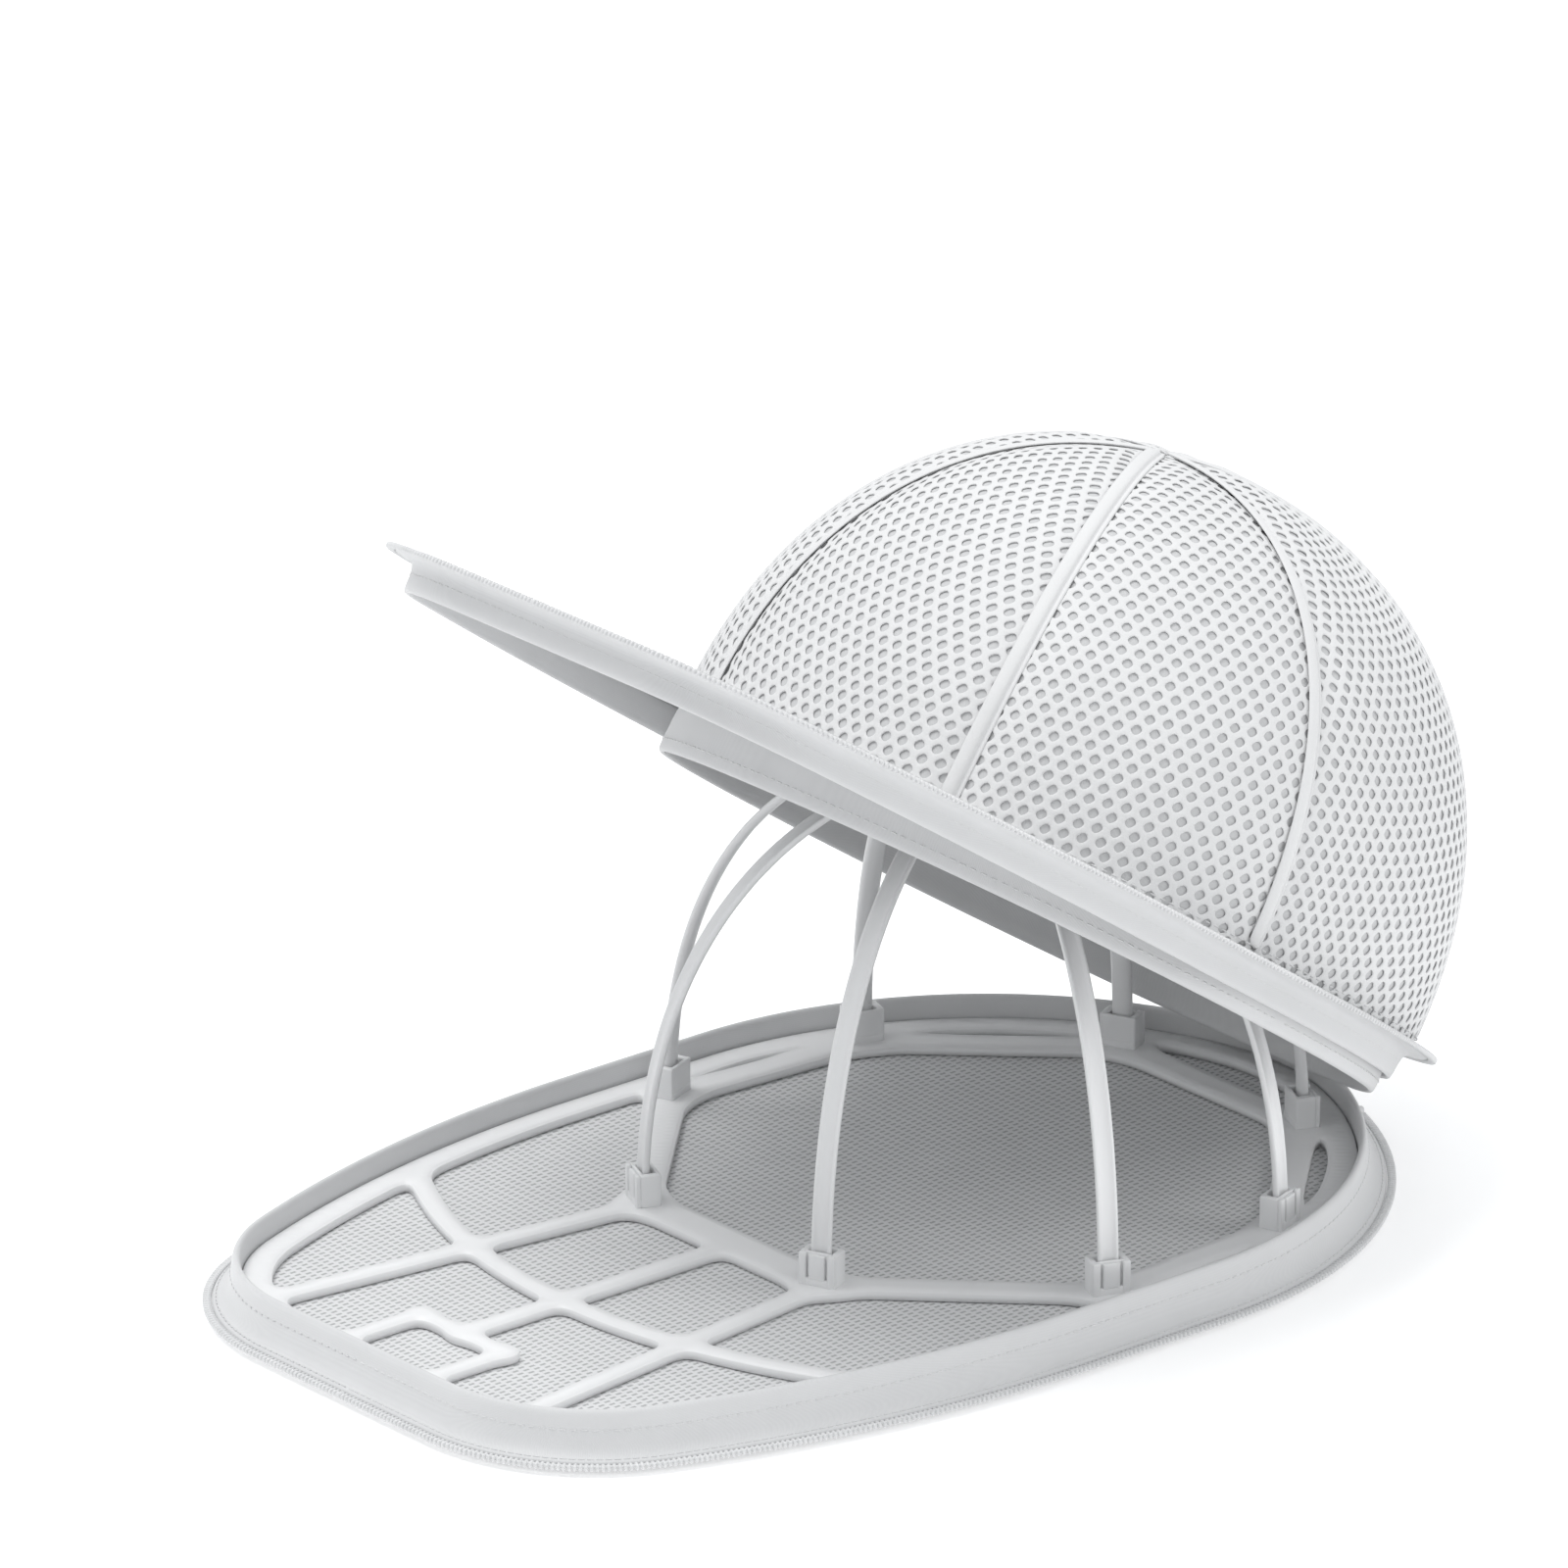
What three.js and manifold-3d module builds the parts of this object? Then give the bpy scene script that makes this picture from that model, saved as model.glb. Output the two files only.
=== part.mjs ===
// A zip-round washing bag for a peaked cap, lid open: flared zip rims, a moulded floor frame with
// a snap-in rib cage, and a mesh lid with a six-panel crown. Millimetres, +Z up, +Y to the hinge.
import * as THREE from 'three'
import Module from 'manifold-3d'

const { Manifold, Mesh: SolidMesh } = await initManifold()

// ---- driving sizes -------------------------------------------------------------------------
const LENGTH = 315.7 // over both zip edges, front to hinge
const WIDTH = 211.6
const NOSE_RADIUS = 73.8 // outline at the hinge end
const NOSE_TURN = 18.5 // degrees
const TAPER_RADIUS = 332
const TAPER_TURN = 20.7
const FRONT_CORNER_RADIUS = 55
const HINGE_END_Y = 162 // outline's rear edge, from the plan's own centre
const ROW_ORIGIN_Y = 12.5 // the row's origin, from the plan's own centre
const FACET_ERROR = 0.12 // how far a facet of the outline may stray from its arc

const CLEARANCE = 0.3 // between pieces that touch
const ZIP_EDGE_Z = 2.4 // middle of the base chain above the table
const CHAIN_WIDTH = 2.4
const CHAIN_THICKNESS = 1.4
const TAPE_THICKNESS = 1.1

const WALL_INSET = 7.7 // base wall's outer face, in from the zip edge
const WALL_THICKNESS = 1.8
const WALL_TOP = 14.4
const TAPE_TOP = 10.6 // where the flared tape is sewn to the wall
const MESH_THICKNESS = 1.2
const FLOOR_Z = 4.7 // underside of the floor mesh
const BINDING_WIDTH = 6
const BASE_FLARE = { seam: 3, lean: 1.6, bend: 4, toe: 1.2, toeRise: 0.4, throat: 6.6, lap: 1.4 } // tape section

const FRAME_HEIGHT = 2.5
const RING_WIDTH = 7.5
const BAR_WIDTH = 5.5
const CROWN_BAR_WIDTH = 9
const FRONT_CROWN_BAR_WIDTH = 11
const CROSS_BAR_RADIUS = 162
const CROSS_BAR_Y = -82.7
const LOOP_WIDTH = 32
const LOOP_DEPTH = 22
const LOOP_WALL = 5
const FRONT_BAR_X = 47.5 // where the outer long bars meet the ring
const REAR_BAR_X = 44

const CAGE_BEHIND_CROWN = 7 // cage's middle behind the crown's
const CAGE_HEADROOM = 14.6 // cage's top under the closed crown's inner face
const CAGE_ROUNDNESS = 2.2 // superellipse power of a rib
const RIB_THICKNESS = 2.5
const RIB_WIDTH = 5.5
const END_FOOT_X = 34
const FOOT_GAP = { front: 18, side: [10.6, 9], rear: 10 } // feet in from the crown well's face
const SIDE_FOOT_Y = [22, 82]
const SOCKET = { wide: 10, deep: 6.5, high: 8.5, floor: 2, slot: 0.8, slotDepth: 1, slotLow: 0.5, slotTop: 2 }
const HUB_RADIUS = 11
const HUB_THICKNESS = 4

const LID_OPEN = 34.5 // degrees at rest
const HINGE_Y = 150
const HINGE_Z = 7.4
const HINGE_HALF_WIDTH = 28 // the zip stops this far each side of the centre line
const HINGE_NOTCH_PLAY = 4
const HINGE_STRIP = { lower: 2.4, upper: 5 } // heights of its two halves
const STOP = { long: 2.2, proud: 0.4 }
const BAND_GAP = 0.4 // closed lid band above the base wall
const BAND_HEIGHT = 9
const BAND_INSET = 8.7
const CROWN_SIDE_MARGIN = 10.3 // crown's foot in from the zip edge at its sides
const CROWN_REAR_MARGIN = 18
const CROWN_HALF_LENGTH = 97
const CROWN_HEIGHT = 109
const CROWN_SQUARENESS = 2.3 // superellipse power of the plan
const CROWN_ROUNDNESS = 2.14 // superellipse power of the side view
const CROWN_THICKNESS = 2.4
const CROWN_SEAM_AHEAD = 27 // the six seams meet this far ahead of the crown's middle
const BRIM_LAP = 5.5 // brim cover's reach in under the crown
const LID_FLARE = { root: 2.6, bend: 1.5, toeDrop: 0.5 } // tape section
const SEAM_ANGLES = [-53, 5, 64, 116, 175, 233] // degrees in plan, each seam's way down from there
const SEAM_TAPE = { width: 9, thickness: 0.8 }
const COLLAR_DROP = 14
const COLLAR_THICKNESS = 1.8

const SLIDER = { long: 9, wide: 5.2, wall: 1, post: 1, postLength: 2, park: 38 }
const PULL = {
  long: 20, wide: 4.6, thick: 1.2, bar: 0.7, eye: 1.7, neck: 3.2, rise: 2.4, hole: 1.2, holeFromEnd: 3,
}

const LID_Z = WALL_TOP + BAND_GAP + BAND_HEIGHT // the lid's plane when closed
const FRAME_TOP = FLOOR_Z + MESH_THICKNESS + CLEARANCE + FRAME_HEIGHT
const FRAME_BOTTOM = FRAME_TOP - FRAME_HEIGHT
const INNER_INSET = WALL_INSET + WALL_THICKNESS + CLEARANCE
const CROWN_HALF_WIDTH = WIDTH / 2 - CROWN_SIDE_MARGIN
const CROWN_CENTRE_Y = HINGE_END_Y - CROWN_REAR_MARGIN - CROWN_HALF_LENGTH
const CROWN_FOOT_Z = LID_Z + MESH_THICKNESS + CLEARANCE
const CROWN_SEAM_Y = CROWN_CENTRE_Y - CROWN_SEAM_AHEAD
const CAGE_CENTRE_Y = CROWN_CENTRE_Y + CAGE_BEHIND_CROWN
const CROWN_INSIDE_Z = CROWN_FOOT_Z + CROWN_HEIGHT - CROWN_THICKNESS - CLEARANCE - SEAM_TAPE.thickness
const CAGE_HEIGHT = CROWN_INSIDE_Z - CAGE_HEADROOM - RIB_THICKNESS / 2 - FRAME_TOP
const rad = THREE.MathUtils.degToRad

// ---- finishes ------------------------------------------------------------------------------
const finish = (color, roughness) => new THREE.MeshStandardMaterial({ color, roughness, metalness: 0 })
const netFabric = finish(0xe9eaec, 0.8)
const floorNet = finish(0xe4e5e7, 0.85)
const rimFabric = finish(0xf1f1f2, 0.7)
const tapeFabric = finish(0xe6e7e8, 0.75)
const frameResin = finish(0xf4f5f5, 0.35)
const zipResin = finish(0xe2e3e4, 0.45)

// ---- solids --------------------------------------------------------------------------------
async function initManifold() {
  const library = await Module()
  library.setup()
  return library
}

function toSolid(geometry) {
  const flat = geometry.index ? geometry.toNonIndexed() : geometry
  const points = flat.attributes.position.array
  const corners = new Uint32Array(points.length / 3).map((_, i) => i)
  const mesh = new SolidMesh({ numProp: 3, vertProperties: new Float32Array(points), triVerts: corners })
  mesh.merge()
  return new Manifold(mesh)
}

function toGeometry(solid) {
  const mesh = solid.getMesh()
  const geometry = new THREE.BufferGeometry()
  geometry.setAttribute('position', new THREE.BufferAttribute(new Float32Array(mesh.vertProperties), 3))
  geometry.setIndex(new THREE.BufferAttribute(new Uint32Array(mesh.triVerts), 1))
  return geometry.toNonIndexed()
}

const join = (...geometries) => toGeometry(geometries.map(toSolid).reduce((a, b) => a.add(b)))
const cut = (geometry, ...tools) => toGeometry(tools.map(toSolid).reduce((a, b) => a.subtract(b), toSolid(geometry)))
const common = (a, b) => toGeometry(toSolid(a).intersect(toSolid(b)))

// A box between two corners.
function block(low, high) {
  const size = high.map((value, axis) => value - low[axis])
  return new THREE.BoxGeometry(...size).translate(...low.map((value, axis) => value + size[axis] / 2))
}

// ---- the outline that the base and the lid share -----------------------------------------------
// Tangent arcs from the hinge end's middle round the right-hand side to the front's middle.
function halfOutline(inset) {
  const noseSine = Math.sin(rad(NOSE_TURN))
  const shoulder = (WIDTH / 2 - NOSE_RADIUS * noseSine) / (1 - noseSine)
  const taperSine = Math.sin(rad(TAPER_TURN))
  const rear = NOSE_RADIUS * (1 - Math.cos(rad(NOSE_TURN))) + shoulder * Math.cos(rad(NOSE_TURN))
  const front = TAPER_RADIUS * taperSine + FRONT_CORNER_RADIUS * (1 - taperSine)
  const points = [new THREE.Vector2(0, HINGE_END_Y - inset)]
  let heading = 0
  const at = points[0].clone()
  const straight = (distance) => {
    at.add(new THREE.Vector2(Math.cos(heading), Math.sin(heading)).multiplyScalar(distance))
    points.push(at.clone())
  }
  const arc = (radius, turn) => {
    const widest = 2 * Math.acos(1 - FACET_ERROR / radius)
    const steps = Math.ceil(rad(turn) / widest)
    const centre = at.clone().add(new THREE.Vector2(Math.sin(heading), -Math.cos(heading)).multiplyScalar(radius))
    const start = heading
    for (let i = 1; i <= steps; i++) {
      heading = start - rad(turn) * i / steps
      at.copy(centre).add(new THREE.Vector2(-Math.sin(heading), Math.cos(heading)).multiplyScalar(radius))
      points.push(at.clone())
    }
  }
  arc(NOSE_RADIUS - inset, NOSE_TURN)
  arc(shoulder - inset, 90 - NOSE_TURN)
  straight(LENGTH - rear - front)
  arc(TAPER_RADIUS - inset, TAPER_TURN)
  arc(FRONT_CORNER_RADIUS - inset, 90 - TAPER_TURN)
  points.push(new THREE.Vector2(0, at.y))
  return points
}

// Anticlockwise, as an extruded shape with a hole needs it.
function fullOutline(inset) {
  const right = halfOutline(inset)
  const left = right.slice(1, -1).reverse().map((p) => new THREE.Vector2(-p.x, p.y))
  return [...right, ...left].reverse()
}

// A flat plate inside the outline, or a ring where an inner inset is given.
function plate(inset, low, high, innerInset) {
  const shape = new THREE.Shape(fullOutline(inset))
  if (innerInset !== undefined) shape.holes.push(new THREE.Path(fullOutline(innerInset)))
  return new THREE.ExtrudeGeometry(shape, { depth: high - low, bevelEnabled: false }).translate(0, 0, low)
}

// The zip's route: the outline without its stretch across the hinge.
class ZipRoute extends THREE.Curve {
  constructor(inset, gap) {
    super()
    const right = halfOutline(inset)
    const after = right.findIndex((p) => p.x > gap)
    const ratio = (gap - right[after - 1].x) / (right[after].x - right[after - 1].x)
    const start = right[after - 1].clone().lerp(right[after], ratio)
    const side = [start, ...right.slice(after, -1)]
    const mirrored = side.slice().reverse().map((p) => new THREE.Vector2(-p.x, p.y))
    this.points = [...side, ...mirrored].map((p) => new THREE.Vector3(p.x, p.y, 0))
  }
  get steps() {
    return this.points.length - 1
  }
  getPoint(t) {
    return this.points[Math.round(t * this.steps)].clone()
  }
  getPointAt(t) {
    return this.getPoint(t)
  }
  getTangentAt(t) {
    const i = Math.round(t * this.steps)
    const before = this.points[Math.max(0, i - 1)]
    const after = this.points[Math.min(this.steps, i + 1)]
    return after.clone().sub(before).normalize()
  }
}

// Sweeps a section of [inset, z] corners round the zip's route.
function sweep(section, gap = HINGE_HALF_WIDTH) {
  const middle = section.reduce((sum, [inset]) => sum + inset, 0) / section.length
  const route = new ZipRoute(middle, gap)
  const shape = new THREE.Shape(section.map(([inset, z]) => new THREE.Vector2(-z, middle - inset)))
  return new THREE.ExtrudeGeometry(shape, { extrudePath: route, steps: route.steps, bevelEnabled: false })
}

const group = new THREE.Group()
const plan = new THREE.Group()
plan.position.y = -ROW_ORIGIN_Y
group.add(plan)
const lid = new THREE.Group()
const hinge = new THREE.Group()
hinge.position.set(0, HINGE_Y, HINGE_Z)
hinge.rotation.x = -rad(LID_OPEN)
lid.position.set(0, -HINGE_Y, -HINGE_Z)
hinge.add(lid)
plan.add(hinge)

function add(parent, name, geometry, material) {
  const mesh = new THREE.Mesh(geometry, material)
  mesh.name = name
  parent.add(mesh)
  return mesh
}

// ---- base: floor, wall and zip half ----------------------------------------------------------
function makeBase() {
  const notchHalf = HINGE_HALF_WIDTH + HINGE_NOTCH_PLAY
  const notch = block([-notchHalf, 0, FRAME_TOP], [notchHalf, HINGE_END_Y, WALL_TOP + 1])
  const wall = plate(WALL_INSET, FLOOR_Z, WALL_TOP, WALL_INSET + WALL_THICKNESS)
  add(plan, 'base_wall', cut(wall, notch), rimFabric)
  add(plan, 'floor_mesh', plate(INNER_INSET, FLOOR_Z, FLOOR_Z + MESH_THICKNESS), floorNet)
  const bindingTop = FLOOR_Z - CLEARANCE
  add(plan, 'floor_binding', plate(WALL_INSET, 0, bindingTop, WALL_INSET + BINDING_WIDTH), rimFabric)
  const outer = WALL_INSET - CLEARANCE
  const inner = CHAIN_WIDTH + CLEARANCE
  const half = TAPE_THICKNESS / 2
  const { seam, lean, bend, toe, toeRise, throat, lap } = BASE_FLARE
  const tape = [
    [outer, TAPE_TOP], [outer, TAPE_TOP - seam], [outer - lean, bend], [inner + toe, ZIP_EDGE_Z - half],
    [inner, ZIP_EDGE_Z - half], [inner, ZIP_EDGE_Z + half], [inner + lap, ZIP_EDGE_Z + half + toeRise],
    [outer - toe, throat],
  ]
  add(plan, 'base_zip_tape', sweep(tape), tapeFabric)
  add(plan, 'base_zip_chain', sweep(chainSection(ZIP_EDGE_Z)), zipResin)
  const stripInset = WALL_INSET + WALL_THICKNESS
  const stripTop = FRAME_TOP + HINGE_STRIP.lower
  const strip = plate(stripInset - SEAM_TAPE.thickness, FRAME_TOP + CLEARANCE, stripTop, stripInset)
  const reach = HINGE_HALF_WIDTH - CLEARANCE
  const stripCut = block([-reach, CROWN_CENTRE_Y, FRAME_TOP], [reach, HINGE_END_Y, WALL_TOP])
  add(plan, 'hinge_strip_lower', common(strip, stripCut), tapeFabric)
}

function chainSection(z) {
  const half = CHAIN_THICKNESS / 2
  return [[0, z - half], [0, z + half], [CHAIN_WIDTH, z + half], [CHAIN_WIDTH, z - half]]
}

// End stops close each chain where the zip meets the hinge.
function makeStops(parent, name, z) {
  const route = new ZipRoute(CHAIN_WIDTH / 2, HINGE_HALF_WIDTH)
  const end = route.points[0]
  const turn = Math.atan2(route.getTangentAt(0).y, route.getTangentAt(0).x)
  for (const side of [1, -1]) {
    const stop = new THREE.BoxGeometry(STOP.long, CHAIN_WIDTH + 2 * STOP.proud, CHAIN_THICKNESS + 2 * STOP.proud)
    stop.translate(-STOP.long / 2 - CLEARANCE, 0, 0).rotateZ(turn).translate(end.x, end.y, z)
    if (side < 0) stop.rotateY(Math.PI).translate(0, 0, 2 * z)
    add(parent, `${name}_${side > 0 ? 'right' : 'left'}`, stop, zipResin)
  }
}

// ---- moulded frame with its sockets ----------------------------------------------------------
function bar(from, to, width) {
  const length = Math.hypot(to[0] - from[0], to[1] - from[1])
  const turn = Math.atan2(to[1] - from[1], to[0] - from[0])
  const geometry = new THREE.BoxGeometry(length + width, width, FRAME_HEIGHT).rotateZ(turn)
  return geometry.translate((from[0] + to[0]) / 2, (from[1] + to[1]) / 2, FRAME_BOTTOM + FRAME_HEIGHT / 2)
}

// A curved bar bowed towards the front, from its middle out to a half-width.
function crossBar() {
  const centreY = CROSS_BAR_Y + CROSS_BAR_RADIUS
  const half = Math.asin((WIDTH / 2) / CROSS_BAR_RADIUS)
  const shape = new THREE.Shape()
  shape.absarc(0, centreY, CROSS_BAR_RADIUS + BAR_WIDTH / 2, -Math.PI / 2 - half, -Math.PI / 2 + half, false)
  shape.absarc(0, centreY, CROSS_BAR_RADIUS - BAR_WIDTH / 2, -Math.PI / 2 + half, -Math.PI / 2 - half, true)
  const solid = { depth: FRAME_HEIGHT, bevelEnabled: false, curveSegments: 18 }
  return new THREE.ExtrudeGeometry(shape, solid).translate(0, 0, FRAME_BOTTOM)
}

function fingerLoop(frontY) {
  const x = LOOP_WIDTH / 2
  const top = frontY + LOOP_DEPTH
  return [
    bar([-x, frontY], [-x, top], LOOP_WALL), bar([x, frontY], [x, top], LOOP_WALL),
    bar([-x, top], [x, top], LOOP_WALL),
  ]
}

// Where a half outline crosses a given half-width, at its rear end or its front end.
function endAt(points, x, rear) {
  const run = rear ? points : points.slice().reverse()
  const after = run.findIndex((p) => p.x > x)
  const [a, b] = [run[after - 1], run[after]]
  return a.y + (b.y - a.y) * (x - a.x) / (b.x - a.x)
}

function sideAt(points, y) {
  const after = points.findIndex((p) => p.y < y)
  const [a, b] = [points[after - 1], points[after]]
  return a.x + (b.x - a.x) * (y - a.y) / (b.y - a.y)
}

// The right-hand feet, front to rear, each a gap in from the face of the closed lid's crown well.
function rightFeet() {
  const band = halfOutline(BAND_INSET + WALL_THICKNESS + CLEARANCE)
  const crown = crownPlan(0).filter((p) => p.x > -1e-9).sort((a, b) => b.y - a.y)
  const side = (y, gap) => [Math.min(sideAt(band, y), sideAt(crown, y)) - gap, y]
  const front = Math.max(endAt(band, END_FOOT_X, false), endAt(crown, END_FOOT_X, false))
  const rear = Math.min(endAt(band, END_FOOT_X, true), endAt(crown, END_FOOT_X, true))
  return [
    [END_FOOT_X, front + FOOT_GAP.front],
    ...SIDE_FOOT_Y.map((y, i) => side(y, FOOT_GAP.side[i])),
    [END_FOOT_X, rear - FOOT_GAP.rear],
  ]
}

const RIB_FEET = rightFeet()
const allFeet = [...RIB_FEET, ...RIB_FEET.slice().reverse().map(([x, y]) => [-x, y])]

function socketAt([x, y]) {
  const turn = Math.atan2(y - CAGE_CENTRE_Y, x)
  const { wide, deep, high, floor, slot, slotDepth, slotLow, slotTop } = SOCKET
  const play = 2 * CLEARANCE
  const body = block([-deep / 2, -wide / 2, FRAME_BOTTOM], [deep / 2, wide / 2, FRAME_TOP + high])
  const pocket = block(
    [-(RIB_THICKNESS + play) / 2, -(RIB_WIDTH + play) / 2, FRAME_TOP + floor],
    [(RIB_THICKNESS + play) / 2, (RIB_WIDTH + play) / 2, FRAME_TOP + high + 1])
  const slots = [-1, 1].map((side) => {
    const middle = side * wide / 4
    const low = [deep / 2 - slotDepth, middle - slot / 2, FRAME_TOP + slotLow]
    return block(low, [deep, middle + slot / 2, FRAME_TOP + high - slotTop])
  })
  const place = (geometry) => geometry.rotateZ(turn).translate(x, y, 0)
  return { body: place(body), cuts: [pocket, ...slots].map(place) }
}

function makeFrame() {
  const ring = plate(INNER_INSET, FRAME_BOTTOM, FRAME_TOP, INNER_INSET + RING_WIDTH)
  const ringMiddle = halfOutline(INNER_INSET + RING_WIDTH / 2)
  const frontY = HINGE_END_Y - LENGTH + INNER_INSET + RING_WIDTH / 2
  const [footX, footY] = RIB_FEET[0]
  const rear = RIB_FEET[RIB_FEET.length - 1]
  const bars = []
  for (const side of [1, -1]) {
    const onRing = (x, rear) => [side * x, endAt(ringMiddle, x, rear)]
    bars.push(bar(onRing(FRONT_BAR_X, false), [side * footX, footY], BAR_WIDTH))
    for (let i = 1; i < RIB_FEET.length; i++) {
      const [a, b] = [RIB_FEET[i - 1], RIB_FEET[i]]
      bars.push(bar([side * a[0], a[1]], [side * b[0], b[1]], CROWN_BAR_WIDTH))
    }
    bars.push(bar([side * rear[0], rear[1]], onRing(REAR_BAR_X, true), BAR_WIDTH))
  }
  bars.push(bar([-footX, footY], [footX, footY], FRONT_CROWN_BAR_WIDTH))
  bars.push(bar([-rear[0], rear[1]], [rear[0], rear[1]], CROWN_BAR_WIDTH))
  bars.push(bar([0, frontY + LOOP_DEPTH], [0, footY], BAR_WIDTH))
  const trim = plate(INNER_INSET, FRAME_BOTTOM - 1, FRAME_TOP + 20)
  const grid = common(join(ring, ...bars, crossBar(), ...fingerLoop(frontY)), trim)
  const sockets = allFeet.map(socketAt)
  const whole = join(grid, ...sockets.map((s) => s.body))
  add(plan, 'inner_frame', cut(whole, ...sockets.flatMap((s) => s.cuts)), frameResin)
}

// ---- rib cage --------------------------------------------------------------------------------
// A rib is a quarter superellipse band in its own upright plane.
function ribBand(radius) {
  const power = 2 / CAGE_ROUNDNESS
  const foot = FRAME_TOP + SOCKET.floor + CLEARANCE
  const steps = 12
  const outer = []
  const inner = []
  const half = RIB_THICKNESS / 2
  const last = Math.acos((HUB_RADIUS / radius) ** (1 / power))
  for (let i = 0; i <= steps; i++) {
    const t = last * i / steps
    const along = (grow, rise) => new THREE.Vector2(
      (radius + grow) * Math.cos(t) ** power, FRAME_TOP + (CAGE_HEIGHT + rise) * Math.sin(t) ** power)
    outer.push(along(half, half))
    inner.push(along(-half, -half))
  }
  outer[0].y = foot
  inner[0].y = foot
  const shape = new THREE.Shape([...outer, ...inner.reverse()])
  const solid = { depth: RIB_WIDTH, bevelEnabled: false }
  return new THREE.ExtrudeGeometry(shape, solid).translate(0, 0, -RIB_WIDTH / 2).rotateX(Math.PI / 2)
}

function makeCage() {
  const hubTop = FRAME_TOP + CAGE_HEIGHT + RIB_THICKNESS / 2
  const hub = new THREE.CylinderGeometry(HUB_RADIUS - CLEARANCE, HUB_RADIUS - CLEARANCE, HUB_THICKNESS, 32)
  hub.rotateX(Math.PI / 2).translate(0, CAGE_CENTRE_Y, hubTop - HUB_THICKNESS / 2)
  add(plan, 'cage_hub', hub, frameResin)
  const keepOut = new THREE.CylinderGeometry(HUB_RADIUS, HUB_RADIUS, 60, 32)
  keepOut.rotateX(Math.PI / 2).translate(0, CAGE_CENTRE_Y, hubTop)
  allFeet.forEach(([x, y], i) => {
    const turn = Math.atan2(y - CAGE_CENTRE_Y, x)
    const rib = ribBand(Math.hypot(x, y - CAGE_CENTRE_Y)).rotateZ(turn).translate(0, CAGE_CENTRE_Y, 0)
    add(plan, `cage_rib_${i + 1}`, cut(rib, keepOut), frameResin)
  })
}

// ---- lid: rim, band and collar ---------------------------------------------------------------
function crownRadius(angle) {
  const c = Math.abs(Math.cos(angle)) ** CROWN_SQUARENESS
  const s = Math.abs(Math.sin(angle)) ** CROWN_SQUARENESS
  return (c + s) ** (-1 / CROWN_SQUARENESS)
}

// The crown's plan at a distance in from its outer face.
function crownPlan(inset, steps = 48) {
  return Array.from({ length: steps }, (_, i) => {
    const angle = 2 * Math.PI * i / steps
    const r = crownRadius(angle)
    const x = (CROWN_HALF_WIDTH - inset) * r * Math.cos(angle)
    return new THREE.Vector2(x, CROWN_CENTRE_Y + (CROWN_HALF_LENGTH - inset) * r * Math.sin(angle))
  })
}

// The room under the crown, held inside the band, at a distance in from both.
function crownWell(inset, low, high) {
  const shape = new THREE.Shape(crownPlan(inset))
  const well = new THREE.ExtrudeGeometry(shape, { depth: high - low, bevelEnabled: false })
  const bandInside = BAND_INSET + WALL_THICKNESS + CLEARANCE
  return common(well.translate(0, 0, low), plate(bandInside + inset, low, high))
}

function makeLidRim() {
  const bandTop = LID_Z - CLEARANCE
  const band = plate(BAND_INSET, LID_Z - BAND_HEIGHT, bandTop, BAND_INSET + WALL_THICKNESS)
  add(lid, 'lid_band', band, rimFabric)
  const cover = plate(BAND_INSET, LID_Z, LID_Z + MESH_THICKNESS)
  const hole = new THREE.ExtrudeGeometry(new THREE.Shape(crownPlan(BRIM_LAP)), { depth: CROWN_HEIGHT, bevelEnabled: false })
  add(lid, 'brim_cover', cut(cover, hole.translate(0, 0, LID_Z - CROWN_HEIGHT / 2)), netFabric)
  const collarTop = LID_Z - CLEARANCE
  const collar = crownWell(0, LID_Z - COLLAR_DROP, collarTop)
  const opening = crownWell(COLLAR_THICKNESS, LID_Z - COLLAR_DROP - 1, collarTop + 1)
  add(lid, 'crown_collar', cut(collar, opening), rimFabric)
  const half = TAPE_THICKNESS / 2
  const tape = [
    [BAND_INSET - CLEARANCE, LID_Z + half], [BAND_INSET - CLEARANCE, LID_Z - LID_FLARE.root],
    [BAND_INSET - LID_FLARE.bend, LID_Z - half - LID_FLARE.toeDrop], [CHAIN_WIDTH + CLEARANCE, LID_Z - half],
    [CHAIN_WIDTH + CLEARANCE, LID_Z + half],
  ]
  add(lid, 'lid_zip_tape', sweep(tape), tapeFabric)
  add(lid, 'lid_zip_chain', sweep(chainSection(LID_Z)), zipResin)
  const stripInset = BAND_INSET + WALL_THICKNESS + CLEARANCE
  const low = LID_Z - BAND_HEIGHT
  const strip = plate(stripInset, low, low + HINGE_STRIP.upper, stripInset + SEAM_TAPE.thickness)
  const reach = HINGE_HALF_WIDTH
  add(lid, 'hinge_strip_upper', common(strip, block([-reach, CROWN_CENTRE_Y, 0], [reach, HINGE_END_Y, LID_Z])), tapeFabric)
}

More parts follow.
